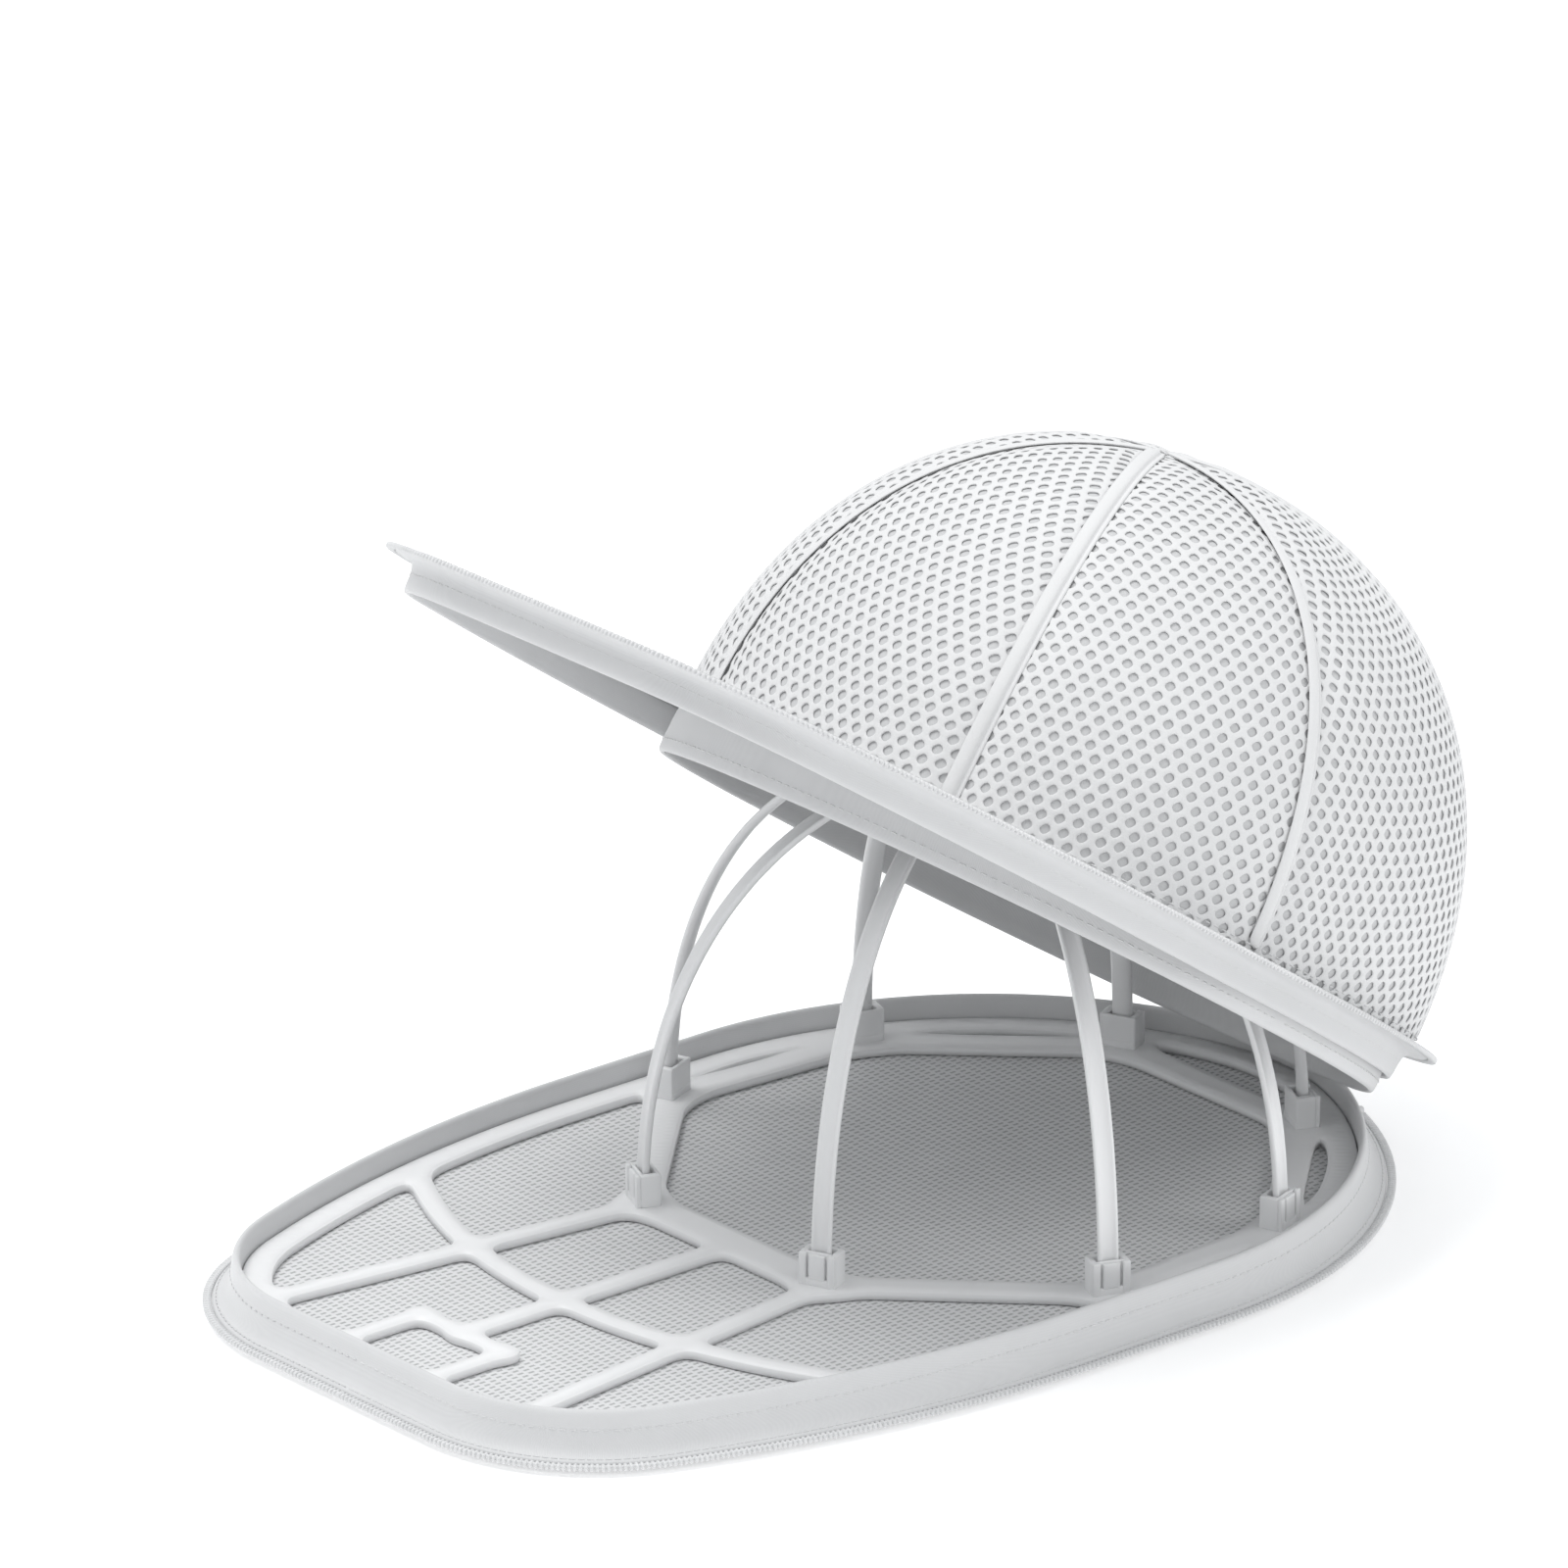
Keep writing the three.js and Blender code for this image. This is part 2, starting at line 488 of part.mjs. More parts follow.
// ---- lid: six crown panels, their seam tapes and the piping round the crown ---------------------
// A closed shell: a superellipse profile turned into a solid, then squared in plan.
function crownShell(outerInset, innerInset, foot) {
  const steps = 12
  const power = 2 / CROWN_ROUNDNESS
  const profile = (inset) => Array.from({ length: steps + 1 }, (_, i) => {
    const t = Math.PI / 2 * i / steps
    const reach = 1 - inset / CROWN_HALF_WIDTH
    const rise = (CROWN_HEIGHT - inset) * Math.sin(t) ** power
    return new THREE.Vector2(i === steps ? 0 : reach * Math.cos(t) ** power, Math.max(foot, rise))
  })
  const outline = [...profile(outerInset), ...profile(innerInset).reverse()]
  outline.push(outline[0].clone())
  const geometry = new THREE.LatheGeometry(outline, 48).rotateX(Math.PI / 2)
  const place = geometry.attributes.position
  for (let i = 0; i < place.count; i++) {
    const angle = Math.atan2(place.getY(i), place.getX(i))
    const r = crownRadius(angle)
    const y = CROWN_CENTRE_Y + CROWN_HALF_LENGTH * r * place.getY(i)
    place.setXYZ(i, CROWN_HALF_WIDTH * r * place.getX(i), y, CROWN_FOOT_Z + place.getZ(i))
  }
  return geometry
}

// An upright wedge between two seam angles, with half a gap taken off each side.
function wedge(from, to) {
  const reach = 2 * LENGTH
  const tip = rad((from + to) / 2)
  const back = CLEARANCE / 2 / Math.sin(rad(to - from) / 2)
  const apex = new THREE.Vector2(back * Math.cos(tip), CROWN_SEAM_Y + back * Math.sin(tip))
  const ray = (angle) => new THREE.Vector2(Math.cos(rad(angle)), Math.sin(rad(angle)))
  const a = ray(from).multiplyScalar(reach).add(apex)
  const b = ray(to).multiplyScalar(reach).add(apex)
  const shape = new THREE.Shape([apex, a, b])
  return new THREE.ExtrudeGeometry(shape, { depth: reach, bevelEnabled: false })
}

function makeCrown() {
  const shell = crownShell(0, CROWN_THICKNESS, 0)
  const tapeShell = crownShell(CROWN_THICKNESS + CLEARANCE, CROWN_THICKNESS + CLEARANCE + SEAM_TAPE.thickness, 0)
  const following = (i) => i + 1 < SEAM_ANGLES.length ? SEAM_ANGLES[i + 1] : SEAM_ANGLES[0] + 360
  const closest = Math.min(...SEAM_ANGLES.map((angle, i) => following(i) - angle))
  const start = (SEAM_TAPE.width / 2 + CLEARANCE) / Math.sin(rad(closest) / 2)
  SEAM_ANGLES.forEach((angle, i) => {
    const next = following(i)
    add(lid, `crown_panel_${i + 1}`, common(shell, wedge(angle, next)), netFabric)
    const strip = block([start, -SEAM_TAPE.width / 2, 0], [WIDTH, SEAM_TAPE.width / 2, 2 * CROWN_HEIGHT])
    strip.rotateZ(rad(angle)).translate(0, CROWN_SEAM_Y, 0)
    add(lid, `seam_tape_${i + 1}`, common(tapeShell, strip), tapeFabric)
  })
}

// ---- slider and its pull ---------------------------------------------------------------------
function makeSlider() {
  const middleX = -(WIDTH / 2 - CHAIN_WIDTH / 2)
  const place = (geometry) => geometry.translate(middleX, SLIDER.park, ZIP_EDGE_Z)
  const across = (radius, width) => new THREE.CylinderGeometry(radius, radius, width, 16).rotateZ(Math.PI / 2)
  const chainHalf = CHAIN_THICKNESS / 2 + CLEARANCE
  const half = { x: SLIDER.wide / 2, z: chainHalf + SLIDER.wall }
  const body = new THREE.BoxGeometry(SLIDER.wide, SLIDER.long, 2 * half.z)
  const outerWeb = CHAIN_WIDTH / 2 + CLEARANCE
  const channel = block([-outerWeb, -SLIDER.long, -chainHalf], [SLIDER.wide, SLIDER.long, chainHalf])
  const barZ = half.z + PULL.rise
  const postHalf = SLIDER.postLength / 2
  const posts = [-1, 1].map((side) => {
    const x = side * (half.x - SLIDER.post / 2)
    const [low, high] = [x - SLIDER.post / 2, x + SLIDER.post / 2]
    return block([low, -postHalf, half.z - SLIDER.wall / 2], [high, postHalf, barZ + PULL.bar])
  })
  const pin = across(PULL.bar, SLIDER.wide - SLIDER.post).translate(0, 0, barZ)
  add(plan, 'zip_slider', place(cut(join(body, ...posts, pin), channel)), zipResin)

  const neck = half.x - SLIDER.post - CLEARANCE
  const side = PULL.wide / 2
  const thick = PULL.thick / 2
  const stem = block([-neck, 0, -thick], [neck, PULL.neck + 1, thick])
  const tab = block([-side, PULL.neck, -thick], [side, PULL.long, thick])
  const bore = across(PULL.bar + CLEARANCE, SLIDER.wide)
  const hole = new THREE.CylinderGeometry(PULL.hole, PULL.hole, 10, 16).rotateX(Math.PI / 2)
  hole.translate(0, PULL.long - PULL.holeFromEnd, 0)
  const pull = cut(join(across(PULL.eye, 2 * neck), stem, tab), bore, hole).translate(0, 0, barZ)
  add(plan, 'pull_tab', place(pull), zipResin)
}

makeBase()
makeStops(plan, 'base_stop', ZIP_EDGE_Z)
makeFrame()
makeCage()
makeLidRim()
makeStops(lid, 'lid_stop', LID_Z)
makeCrown()
makeSlider()

export default group
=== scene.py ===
import math

import bmesh
import bpy
import numpy as np
from mathutils import Matrix, Vector


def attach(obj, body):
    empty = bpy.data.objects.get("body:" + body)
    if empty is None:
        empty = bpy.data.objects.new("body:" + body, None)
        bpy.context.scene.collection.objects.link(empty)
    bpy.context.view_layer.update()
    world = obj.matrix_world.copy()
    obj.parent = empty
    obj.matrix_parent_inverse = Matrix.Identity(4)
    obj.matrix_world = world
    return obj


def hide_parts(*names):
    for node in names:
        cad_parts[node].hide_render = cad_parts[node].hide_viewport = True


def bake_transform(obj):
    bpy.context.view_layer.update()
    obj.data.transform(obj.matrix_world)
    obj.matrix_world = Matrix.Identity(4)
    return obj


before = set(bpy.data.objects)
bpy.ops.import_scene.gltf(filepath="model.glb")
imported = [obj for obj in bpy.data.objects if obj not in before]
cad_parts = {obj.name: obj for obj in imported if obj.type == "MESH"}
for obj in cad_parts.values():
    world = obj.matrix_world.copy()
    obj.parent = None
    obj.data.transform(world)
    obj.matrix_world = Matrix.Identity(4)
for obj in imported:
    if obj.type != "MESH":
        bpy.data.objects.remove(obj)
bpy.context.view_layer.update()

scene = bpy.context.scene
scene.view_settings.view_transform = "Standard"

LENS_MM = 400
DISTANCE = 4.321
RIGHT = Vector((0.6481, 0.7615, 0.0))
UP = Vector((-0.2787, 0.2372, 0.9306))
BACK = Vector((0.7087, -0.6031, 0.3660))
AIM = -0.01828 * RIGHT + 0.11107 * UP
camera_data = bpy.data.cameras.new("camera")
camera_data.lens = LENS_MM
camera_data.sensor_width = 36
camera_data.clip_end = 20
camera = bpy.data.objects.new("camera", camera_data)
view_axes = Matrix((RIGHT, UP, BACK)).transposed().to_4x4()
camera.matrix_world = Matrix.Translation(AIM + DISTANCE * BACK) @ view_axes
scene.collection.objects.link(camera)
scene.camera = camera

sky = bpy.data.worlds.new("sky")
sky.use_nodes = True
sky.node_tree.nodes["Background"].inputs["Color"].default_value = (0.97, 0.985, 1, 1)
sky.node_tree.nodes["Background"].inputs["Strength"].default_value = 0.68
scene.world = sky


def lamp(name, place, size, power):
    data = bpy.data.lights.new(name, "AREA")
    data.shape = "DISK"
    data.size = size
    data.energy = power
    made = bpy.data.objects.new(name, data)
    made.matrix_world = Matrix.Translation(place) @ Vector(place).to_track_quat("Z", "Y").to_matrix().to_4x4()
    scene.collection.objects.link(made)


lamp("lamp_over", (-0.5, -0.35, 2.1), 1.2, 24)
lamp("lamp_right", (1.3, 0.9, 1.0), 0.9, 4)


class Tone:
    """A number that varies over a surface: arithmetic on it adds Math nodes."""

    def __init__(self, tree, socket):
        self.tree, self.socket = tree, socket

    def math(self, operation, left, right=0.0):
        node = self.tree.nodes.new("ShaderNodeMath")
        node.operation = operation
        for plug, value in zip(node.inputs, (left, right)):
            if isinstance(value, Tone):
                self.tree.links.new(value.socket, plug)
            else:
                plug.default_value = value
        return Tone(self.tree, node.outputs[0])

    def __add__(self, other):
        return self.math("ADD", self, other)

    __radd__ = __add__

    def __sub__(self, other):
        return self.math("SUBTRACT", self, other)

    def __rsub__(self, other):
        return self.math("SUBTRACT", other, self)

    def __mul__(self, other):
        return self.math("MULTIPLY", self, other)

    __rmul__ = __mul__

    def over(self, limit):
        return self.math("GREATER_THAN", self, limit)

    def sine(self):
        return self.math("SINE", self)

    def size(self):
        return self.math("ABSOLUTE", self)


OBJECT_OUTPUT = 3


class Finish:
    """One material: a Principled shader and the nodes that vary it."""

    def __init__(self, name, roughness, sheen=0.0, specular=0.5):
        self.material = bpy.data.materials.new(name)
        self.material.use_nodes = True
        self.tree = self.material.node_tree
        self.shader = self.tree.nodes["Principled BSDF"]
        settings = (("Roughness", roughness), ("Sheen Weight", sheen), ("Specular IOR Level", specular))
        for socket, value in settings:
            self.shader.inputs[socket].default_value = value

    def node(self, kind, settings=None, output=0, **sockets):
        made = self.tree.nodes.new(kind)
        for key, value in (settings or {}).items():
            setattr(made, key, value)
        for key, value in sockets.items():
            plug = made.inputs[int(key[1:])] if key[1:].isdigit() else made.inputs[key.replace("_", " ")]
            if isinstance(value, Tone):
                self.tree.links.new(value.socket, plug)
            else:
                plug.default_value = value
        return Tone(self.tree, made.outputs[output])

    def place(self, scale=1000.0):
        coordinates = self.node("ShaderNodeTexCoord", output=OBJECT_OUTPUT)
        return self.node("ShaderNodeMapping", Vector=coordinates, Scale=(scale,) * 3)

    def axes(self, vector):
        split = self.tree.nodes.new("ShaderNodeSeparateXYZ")
        self.tree.links.new(vector.socket, split.inputs[0])
        return [Tone(self.tree, plug) for plug in split.outputs]

    def noise(self, vector, scale, detail=3.0):
        return self.node("ShaderNodeTexNoise", Vector=vector, Scale=scale, Detail=detail)

    def colour(self, low, high, factor):
        mixed = self.node("ShaderNodeMix", {"data_type": "RGBA"}, 2, i0=factor, i6=(*low, 1), i7=(*high, 1))
        self.tree.links.new(mixed.socket, self.shader.inputs["Base Color"])

    def rough(self, tone):
        self.tree.links.new(tone.socket, self.shader.inputs["Roughness"])

    def relief(self, height, depth_mm):
        bump = self.node("ShaderNodeBump", Height=height, Strength=1.0, Distance=depth_mm / 1000)
        self.tree.links.new(bump.socket, self.shader.inputs["Normal"])


table_finish = Finish("white_table", 0.6)
table_grain = table_finish.noise(table_finish.place(scale=20.0), 3.0)
table_finish.colour((0.955, 0.957, 0.96), (0.965, 0.967, 0.97), table_grain)
table_finish.shader.inputs["Emission Color"].default_value = (1, 1, 1, 1)
table_finish.shader.inputs["Emission Strength"].default_value = 0.3
table = bmesh.new()
bmesh.ops.create_grid(table, x_segments=4, y_segments=4, size=4)
table_mesh = bpy.data.meshes.new("table")
table.to_mesh(table_mesh)
table.free()
table_object = bpy.data.objects.new("table", table_mesh)
table_mesh.materials.append(table_finish.material)
scene.collection.objects.link(table_object)

# The bound edge under the floor: a folded strip of woven polyester, sewn round the rim's foot.
# It is the only thing that stands on the table, and it carries every other piece of the base.
PLAN_TO_ROW = Matrix.Translation((0, -0.0125, 0)) @ Matrix.Scale(0.001, 4)
HINGE = Vector((0, 150, 7.4))
LID_TURN = math.radians(-34.5)
LID_TO_PLAN = Matrix.Translation(HINGE) @ Matrix.Rotation(LID_TURN, 4, "X") @ Matrix.Translation(-HINGE)

HALF_WIDTH = 105.8
REAR_Y = 162.0
FRONT_Y = 162.0 - 315.7
NOSE = 73.8
NOSE_TURN = math.radians(18.5)
TAPER = 332.0
TAPER_TURN = math.radians(20.7)
CORNER = 55.0
SHOULDER = (HALF_WIDTH - NOSE * math.sin(NOSE_TURN)) / (1 - math.sin(NOSE_TURN))
NOSE_CENTRE = Vector((0, REAR_Y - NOSE))
SHOULDER_CENTRE = NOSE_CENTRE + (NOSE - SHOULDER) * Vector((math.sin(NOSE_TURN), math.cos(NOSE_TURN)))
CORNER_CENTRE_Y = FRONT_Y + CORNER
TAPER_CENTRE = Vector((HALF_WIDTH - TAPER, CORNER_CENTRE_Y + (TAPER - CORNER) * math.sin(TAPER_TURN)))
CORNER_CENTRE = TAPER_CENTRE + (TAPER - CORNER) * Vector((math.cos(TAPER_TURN), -math.sin(TAPER_TURN)))


def route(inset, start_x=0.0):
    """Right half of the outline as runs of (kind, where, size): arcs turn clockwise from an angle."""
    shoulder_from = math.pi / 2 - NOSE_TURN
    runs = []
    if start_x > 0:
        shoulder_from = math.acos((start_x - SHOULDER_CENTRE.x) / (SHOULDER - inset))
    else:
        runs.append(("arc", NOSE_CENTRE, NOSE - inset, math.pi / 2, NOSE_TURN))
    runs.append(("arc", SHOULDER_CENTRE, SHOULDER - inset, shoulder_from, shoulder_from))
    runs.append(("line", Vector((0, -1)), SHOULDER_CENTRE.y - TAPER_CENTRE.y))
    runs.append(("arc", TAPER_CENTRE, TAPER - inset, 0.0, TAPER_TURN))
    runs.append(("arc", CORNER_CENTRE, CORNER - inset, -TAPER_TURN, math.pi / 2 - TAPER_TURN))
    runs.append(("line", Vector((-1, 0)), CORNER_CENTRE.x))
    return runs


def walk(inset, pitch, start_x=0.0):
    """Evenly spaced (place, heading) along the right half of the outline."""
    travelled, wanted = 0.0, pitch / 2
    at = None
    for run in route(inset, start_x):
        if run[0] == "arc":
            _, centre, radius, angle, turn = run
            length = radius * turn
            while wanted < travelled + length:
                here = angle - (wanted - travelled) / radius
                yield centre + radius * Vector((math.cos(here), math.sin(here))), here - math.pi / 2
                wanted += pitch
            at = centre + radius * Vector((math.cos(angle - turn), math.sin(angle - turn)))
        else:
            _, way, length = run
            while wanted < travelled + length:
                yield at + way * (wanted - travelled), math.atan2(way.y, way.x)
                wanted += pitch
            at = at + way * length
        travelled += length


def rim(section, start_x=0.0, step=2.5, closed=True):
    """Carries a section of (inset, z) round the outline, then mirrors it to the left."""
    bm = bmesh.new()
    middle = sum(inset for inset, _ in section) / len(section)
    runs = route(middle, start_x)
    centre, angle = runs[0][1], runs[0][3]
    reach = runs[0][2] + middle
    way = Vector((math.cos(angle), math.sin(angle)))
    verts = [bm.verts.new((*(centre + (reach - inset) * way), z)) for inset, z in section]
    pairs = list(zip(verts, verts[1:] + verts[:1]))[: None if closed else -1]
    ends = [bm.edges.new(pair) for pair in pairs]
    if closed and start_x > 0:
        bm.faces.new(verts)
    for run in runs:
        if run[0] == "arc":
            _, centre, radius, _, turn = run
            steps = max(2, round(radius * turn / step))
            made = bmesh.ops.spin(bm, geom=ends, cent=(*centre, 0), axis=(0, 0, -1), angle=turn, steps=steps)
            ends = [e for e in made["geom_last"] if isinstance(e, bmesh.types.BMEdge)]
        else:
            _, way, length = run
            for _ in range(max(1, round(length / (2 * step)))):
                made = bmesh.ops.extrude_edge_only(bm, edges=ends)
                moved = [v for v in made["geom"] if isinstance(v, bmesh.types.BMVert)]
                shift = way * length / max(1, round(length / (2 * step)))
                bmesh.ops.translate(bm, verts=moved, vec=(*shift, 0))
                ends = [e for e in made["geom"] if isinstance(e, bmesh.types.BMEdge)]
                ends = [e for e in ends if all(v in moved for v in e.verts)]
    bmesh.ops.mirror(bm, geom=bm.verts[:] + bm.edges[:] + bm.faces[:], axis="X", merge_dist=0.01)
    bmesh.ops.remove_doubles(bm, verts=bm.verts, dist=0.02)
    bmesh.ops.recalc_face_normals(bm, faces=bm.faces)
    return bm


def piece(bm, name, body, finish, nodes=(), smooth=True, wall=0.0, levels=0, on_lid=False):
    """Puts a plan-millimetre mesh into the row frame as a finished piece, with a wall inside it if asked."""
    bm.transform(PLAN_TO_ROW @ LID_TO_PLAN if on_lid else PLAN_TO_ROW)
    mesh = bpy.data.meshes.new(name)
    bm.to_mesh(mesh)
    bm.free()
    mesh.shade_smooth() if smooth else mesh.shade_flat()
    mesh.materials.append(finish.material)
    made = bpy.data.objects.new(name, mesh)
    scene.collection.objects.link(made)
    if wall:
        thickness = made.modifiers.new("wall", "SOLIDIFY")
        thickness.thickness = wall / 1000
    if levels:
        surface = made.modifiers.new("rounding", "SUBSURF")
        surface.levels = surface.render_levels = levels
    if body:
        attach(made, body)
    if nodes:
        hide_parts(*nodes)
    return made


def woven(name, low, high, thread, depth, roughness=0.75, sheen=0.25):
    """A plain weave with a little unevenness, thread in millimetres."""
    finish = Finish(name, roughness, sheen)
    place = finish.place()
    x, y, z = finish.axes(place)
    across = ((x + y) * (math.pi / thread)).sine()
    along = ((z * 1.4 + (x - y)) * (math.pi / thread)).sine()
    weave = (across * along) * 0.5 + 0.5
    cloud = finish.noise(place, 0.12, 4.0)
    fibre = finish.noise(place, 3.5, 2.0)
    finish.colour(low, high, weave * 0.35 + cloud * 0.45 + fibre * 0.2)
    finish.rough(roughness - 0.08 + cloud * 0.16)
    finish.relief(weave * 0.7 + fibre * 0.3, depth)
    return finish


tape_finish = woven("woven_tape", (0.70, 0.705, 0.715), (0.80, 0.802, 0.806), 0.55, 0.06)
binding = rim([(7.7, 0.3), (7.7, 4.1), (8.2, 4.45), (13.2, 4.45), (13.7, 4.1), (13.7, 0.5), (13.2, 0.05), (8.2, 0.0)])
binding_piece = piece(binding, "floor_edge", "base", tape_finish, ["floor_binding"], levels=1)

# The floor: one stretched sheet of close-knit net, white, with rows of small slits whose shade is
# painted into its colour as dark marks. It is sewn between the bound edge and the foot of the rim all the way round.
FLOOR_EDGE = 9.9
FLOOR_SURFACE = 5.85


def inset_at(x, y):
    """How far a point of the plan lies in from the outline, for arrays."""
    x = np.abs(x)
    from_nose = np.hypot(x, y - NOSE_CENTRE.y)
    from_shoulder = np.hypot(x - SHOULDER_CENTRE.x, y - SHOULDER_CENTRE.y)
    nose = np.arctan2(x, y - NOSE_CENTRE.y) <= NOSE_TURN
    rear = np.where(nose & (y > NOSE_CENTRE.y), NOSE - from_nose, SHOULDER - from_shoulder)
    from_taper = np.hypot(x - TAPER_CENTRE.x, y - TAPER_CENTRE.y)
    corner = (x > CORNER_CENTRE.x) & (y < CORNER_CENTRE.y)
    corner &= np.arctan2(CORNER_CENTRE.y - y, np.maximum(x - CORNER_CENTRE.x, 1e-9)) > TAPER_TURN
    front = np.where(corner, CORNER - np.hypot(x - CORNER_CENTRE.x, y - CORNER_CENTRE.y), TAPER - from_taper)
    front = np.minimum(front, y - FRONT_Y)
    side = HALF_WIDTH - x
    return np.where(y > SHOULDER_CENTRE.y, rear, np.where(y > TAPER_CENTRE.y, side, front))


def trimmed_sheet(field, cell, low, high, z):
    """A flat sheet of small squares where field(x, y) is below zero, its edge drawn onto the zero line."""
    bm = bmesh.new()
    count = [max(2, round((h - l) / cell)) for l, h in zip(low, high)]
    centre = [(h + l) / 2 for l, h in zip(low, high)]
    size = Matrix.Diagonal(((high[0] - low[0]) / 2, (high[1] - low[1]) / 2, 1, 1))
    place = Matrix.Translation((*centre, z)) @ size
    bmesh.ops.create_grid(bm, x_segments=count[0], y_segments=count[1], size=1, matrix=place)
    spots = np.array([v.co for v in bm.verts])
    outside = field(spots[:, 0], spots[:, 1]) > -0.3 * cell
    bmesh.ops.delete(bm, geom=[v for v, out in zip(bm.verts, outside) if out], context="VERTS")
    loose = [v for v in bm.verts if not v.link_faces]
    bmesh.ops.delete(bm, geom=loose, context="VERTS")
    edge = [v for v in bm.verts if v.is_boundary]
    for _ in range(8):
        at = np.array([v.co for v in edge])
        x, y, h = at[:, 0], at[:, 1], 0.05
        value = field(x, y)
        slope = np.array([field(x + h, y) - field(x - h, y), field(x, y + h) - field(x, y - h)]) / (2 * h)
        step = value * slope / np.maximum((slope ** 2).sum(0), 0.25)
        for v, dx, dy in zip(edge, *step):
            v.co.x -= max(-cell, min(cell, dx))
            v.co.y -= max(-cell, min(cell, dy))
        for v, x, y in zip(edge, *even_out(edge)):
            v.co.x, v.co.y = x, y
    inner = [v for v in bm.verts if not v.is_boundary]
    bmesh.ops.smooth_vert(bm, verts=inner, factor=0.5, use_axis_x=True, use_axis_y=True)
    return bm


def even_out(edge):
    """Each boundary vertex moved a quarter of the way to the middle of its two neighbours."""
    moved = []
    for v in edge:
        near = [e.other_vert(v).co for e in v.link_edges if e.is_boundary]
        middle = sum(near, Vector()) / len(near) if near else v.co
        moved.append(v.co * 0.75 + middle * 0.25)
    return [m.x for m in moved], [m.y for m in moved]


floor_finish = Finish("knit_floor", 0.85, 0.2)
floor_place = floor_finish.place()
floor_x, floor_y, _ = floor_finish.axes(floor_place)
row = (floor_y * (math.pi / 2.6)).sine()
slit = (floor_x * (math.pi / 1.9) + row.over(0.0) * (math.pi / 2)).sine().size()
wale = (floor_x * (math.pi / 0.6)).sine().size()
shaded_slits = slit.over(0.80) * row.size().over(0.55)
wear = floor_finish.noise(floor_place, 0.08, 4.0)
yarn = floor_finish.noise(floor_place, 4.0, 2.0)
# The dark low colour is painted shade inside the slits; the wear and yarn noise vary the knit's own tone.
floor_finish.colour(
    (0.42, 0.425, 0.43), (0.84, 0.843, 0.85), 0.88 - shaded_slits * 0.8 + (wear - 0.5) * 0.2 + yarn * 0.1)
floor_finish.relief(wale * 0.5 + yarn * 0.4 - shaded_slits, 0.25)
floor = trimmed_sheet(lambda x, y: FLOOR_EDGE - inset_at(x, y), 2.5, (-106, -154), (106, 162), FLOOR_SURFACE)
floor_area = sum(face.calc_area() for face in floor.faces) * 1e-6
bmesh.ops.recalc_face_normals(floor, faces=floor.faces)
floor_sheet = piece(floor, "floor_net", "base", floor_finish, ["floor_mesh"], wall=1.0)

# The base rim: a foam-filled band covered in smooth knit, with a round padded top edge and a broad
# flared skirt that curves out to the zip. One piece of cloth, sewn to the floor on its inside.
# The rim knit is the same white as the net, but its colour is set darker here as painted shade for the side-facing
# band.
RIM_SHADED_WHITE = ((0.63, 0.634, 0.64), (0.72, 0.723, 0.728))
shaded_rim_finish = woven("smooth_rim_knit_painted_shade", *RIM_SHADED_WHITE, 0.38, 0.035, roughness=0.62, sheen=0.35)
base_section = [
    (2.4, 1.75), (2.4, 3.0), (3.2, 3.35), (4.4, 4.0), (5.5, 5.2), (6.3, 6.9), (6.9, 8.9), (7.25, 10.9),
    (7.35, 12.6), (7.6, 13.8), (8.2, 14.5), (8.9, 14.5), (9.4, 13.9), (9.6, 12.8), (9.55, 10.0), (9.5, 5.0),
    (8.9, 4.6), (7.6, 4.6), (7.0, 3.9), (5.8, 2.6), (4.2, 1.9),
]
base_rim = rim(base_section)
base_rim_piece = piece(
    base_rim, "base_rim", "base", shaded_rim_finish, ["base_wall", "base_zip_tape"], levels=1)

# The seams of the rim: two rows of lockstitch in white thread, one round the foot of the padded
# edge and one along the zip. Each stitch is a short round bar with its ends sunk in the cloth.
thread_finish = Finish("spun_thread", 0.6, 0.3)
thread_place = thread_finish.place()
twist = thread_finish.noise(thread_place, 5.0, 2.0)
thread_finish.colour((0.60, 0.605, 0.61), (0.80, 0.802, 0.805), twist)
thread_finish.relief(twist, 0.05)


def stitch_row(places, length, thick):
    """A row of short round bars; each place is a 4x4 with the bar along X and the cloth's normal on Z."""
    bm = bmesh.new()
    for place in places:
        shape = place @ Matrix.Diagonal((length, thick, thick * 0.7, 1)) @ Matrix.Rotation(math.pi / 2, 4, "Y")
        made = bmesh.ops.create_cone(
            bm, cap_ends=True, segments=6, radius1=0.32, radius2=0.32, depth=0.7, matrix=shape)
        caps = [f for v in made["verts"] for f in v.link_faces if len(f.verts) == 6]
        for face in set(caps):
            bmesh.ops.poke(bm, faces=[face], offset=0.12)
    bmesh.ops.recalc_face_normals(bm, faces=bm.faces)
    return bm


def on_rim(inset, z, pitch, lean=0.0, start_x=0.0):
    """Places along both halves of the outline at one inset and height, leaning out by an angle."""
    for at, heading in walk(inset, pitch, start_x):
        here = Matrix.Translation((*at, z)) @ Matrix.Rotation(heading, 4, "Z") @ Matrix.Rotation(-lean, 4, "X")
        yield here
        yield Matrix.Scale(-1, 4, (1, 0, 0)) @ here


base_rows = [*on_rim(7.0, 9.6, 2.6, math.radians(80)), *on_rim(3.5, 3.55, 2.2, math.radians(25), 28.0)]
piece(stitch_row(base_rows, 2.2, 0.55), "base_stitching", "base", thread_finish)

# The zip: two rows of moulded nylon teeth on corded edges, one round the base and one round the
# lid. Each tooth wraps its edge as a short rounded bar. They stop either side of the hinge.
zip_finish = Finish("moulded_nylon", 0.42)
zip_place = zip_finish.place()
zip_cloud = zip_finish.noise(zip_place, 0.25, 3.0)
zip_finish.colour((0.66, 0.665, 0.67), (0.80, 0.802, 0.806), zip_cloud)
zip_finish.rough(0.36 + zip_cloud * 0.14)
TOOTH_PITCH = 1.35
CHAIN_MIDDLE = 1.25


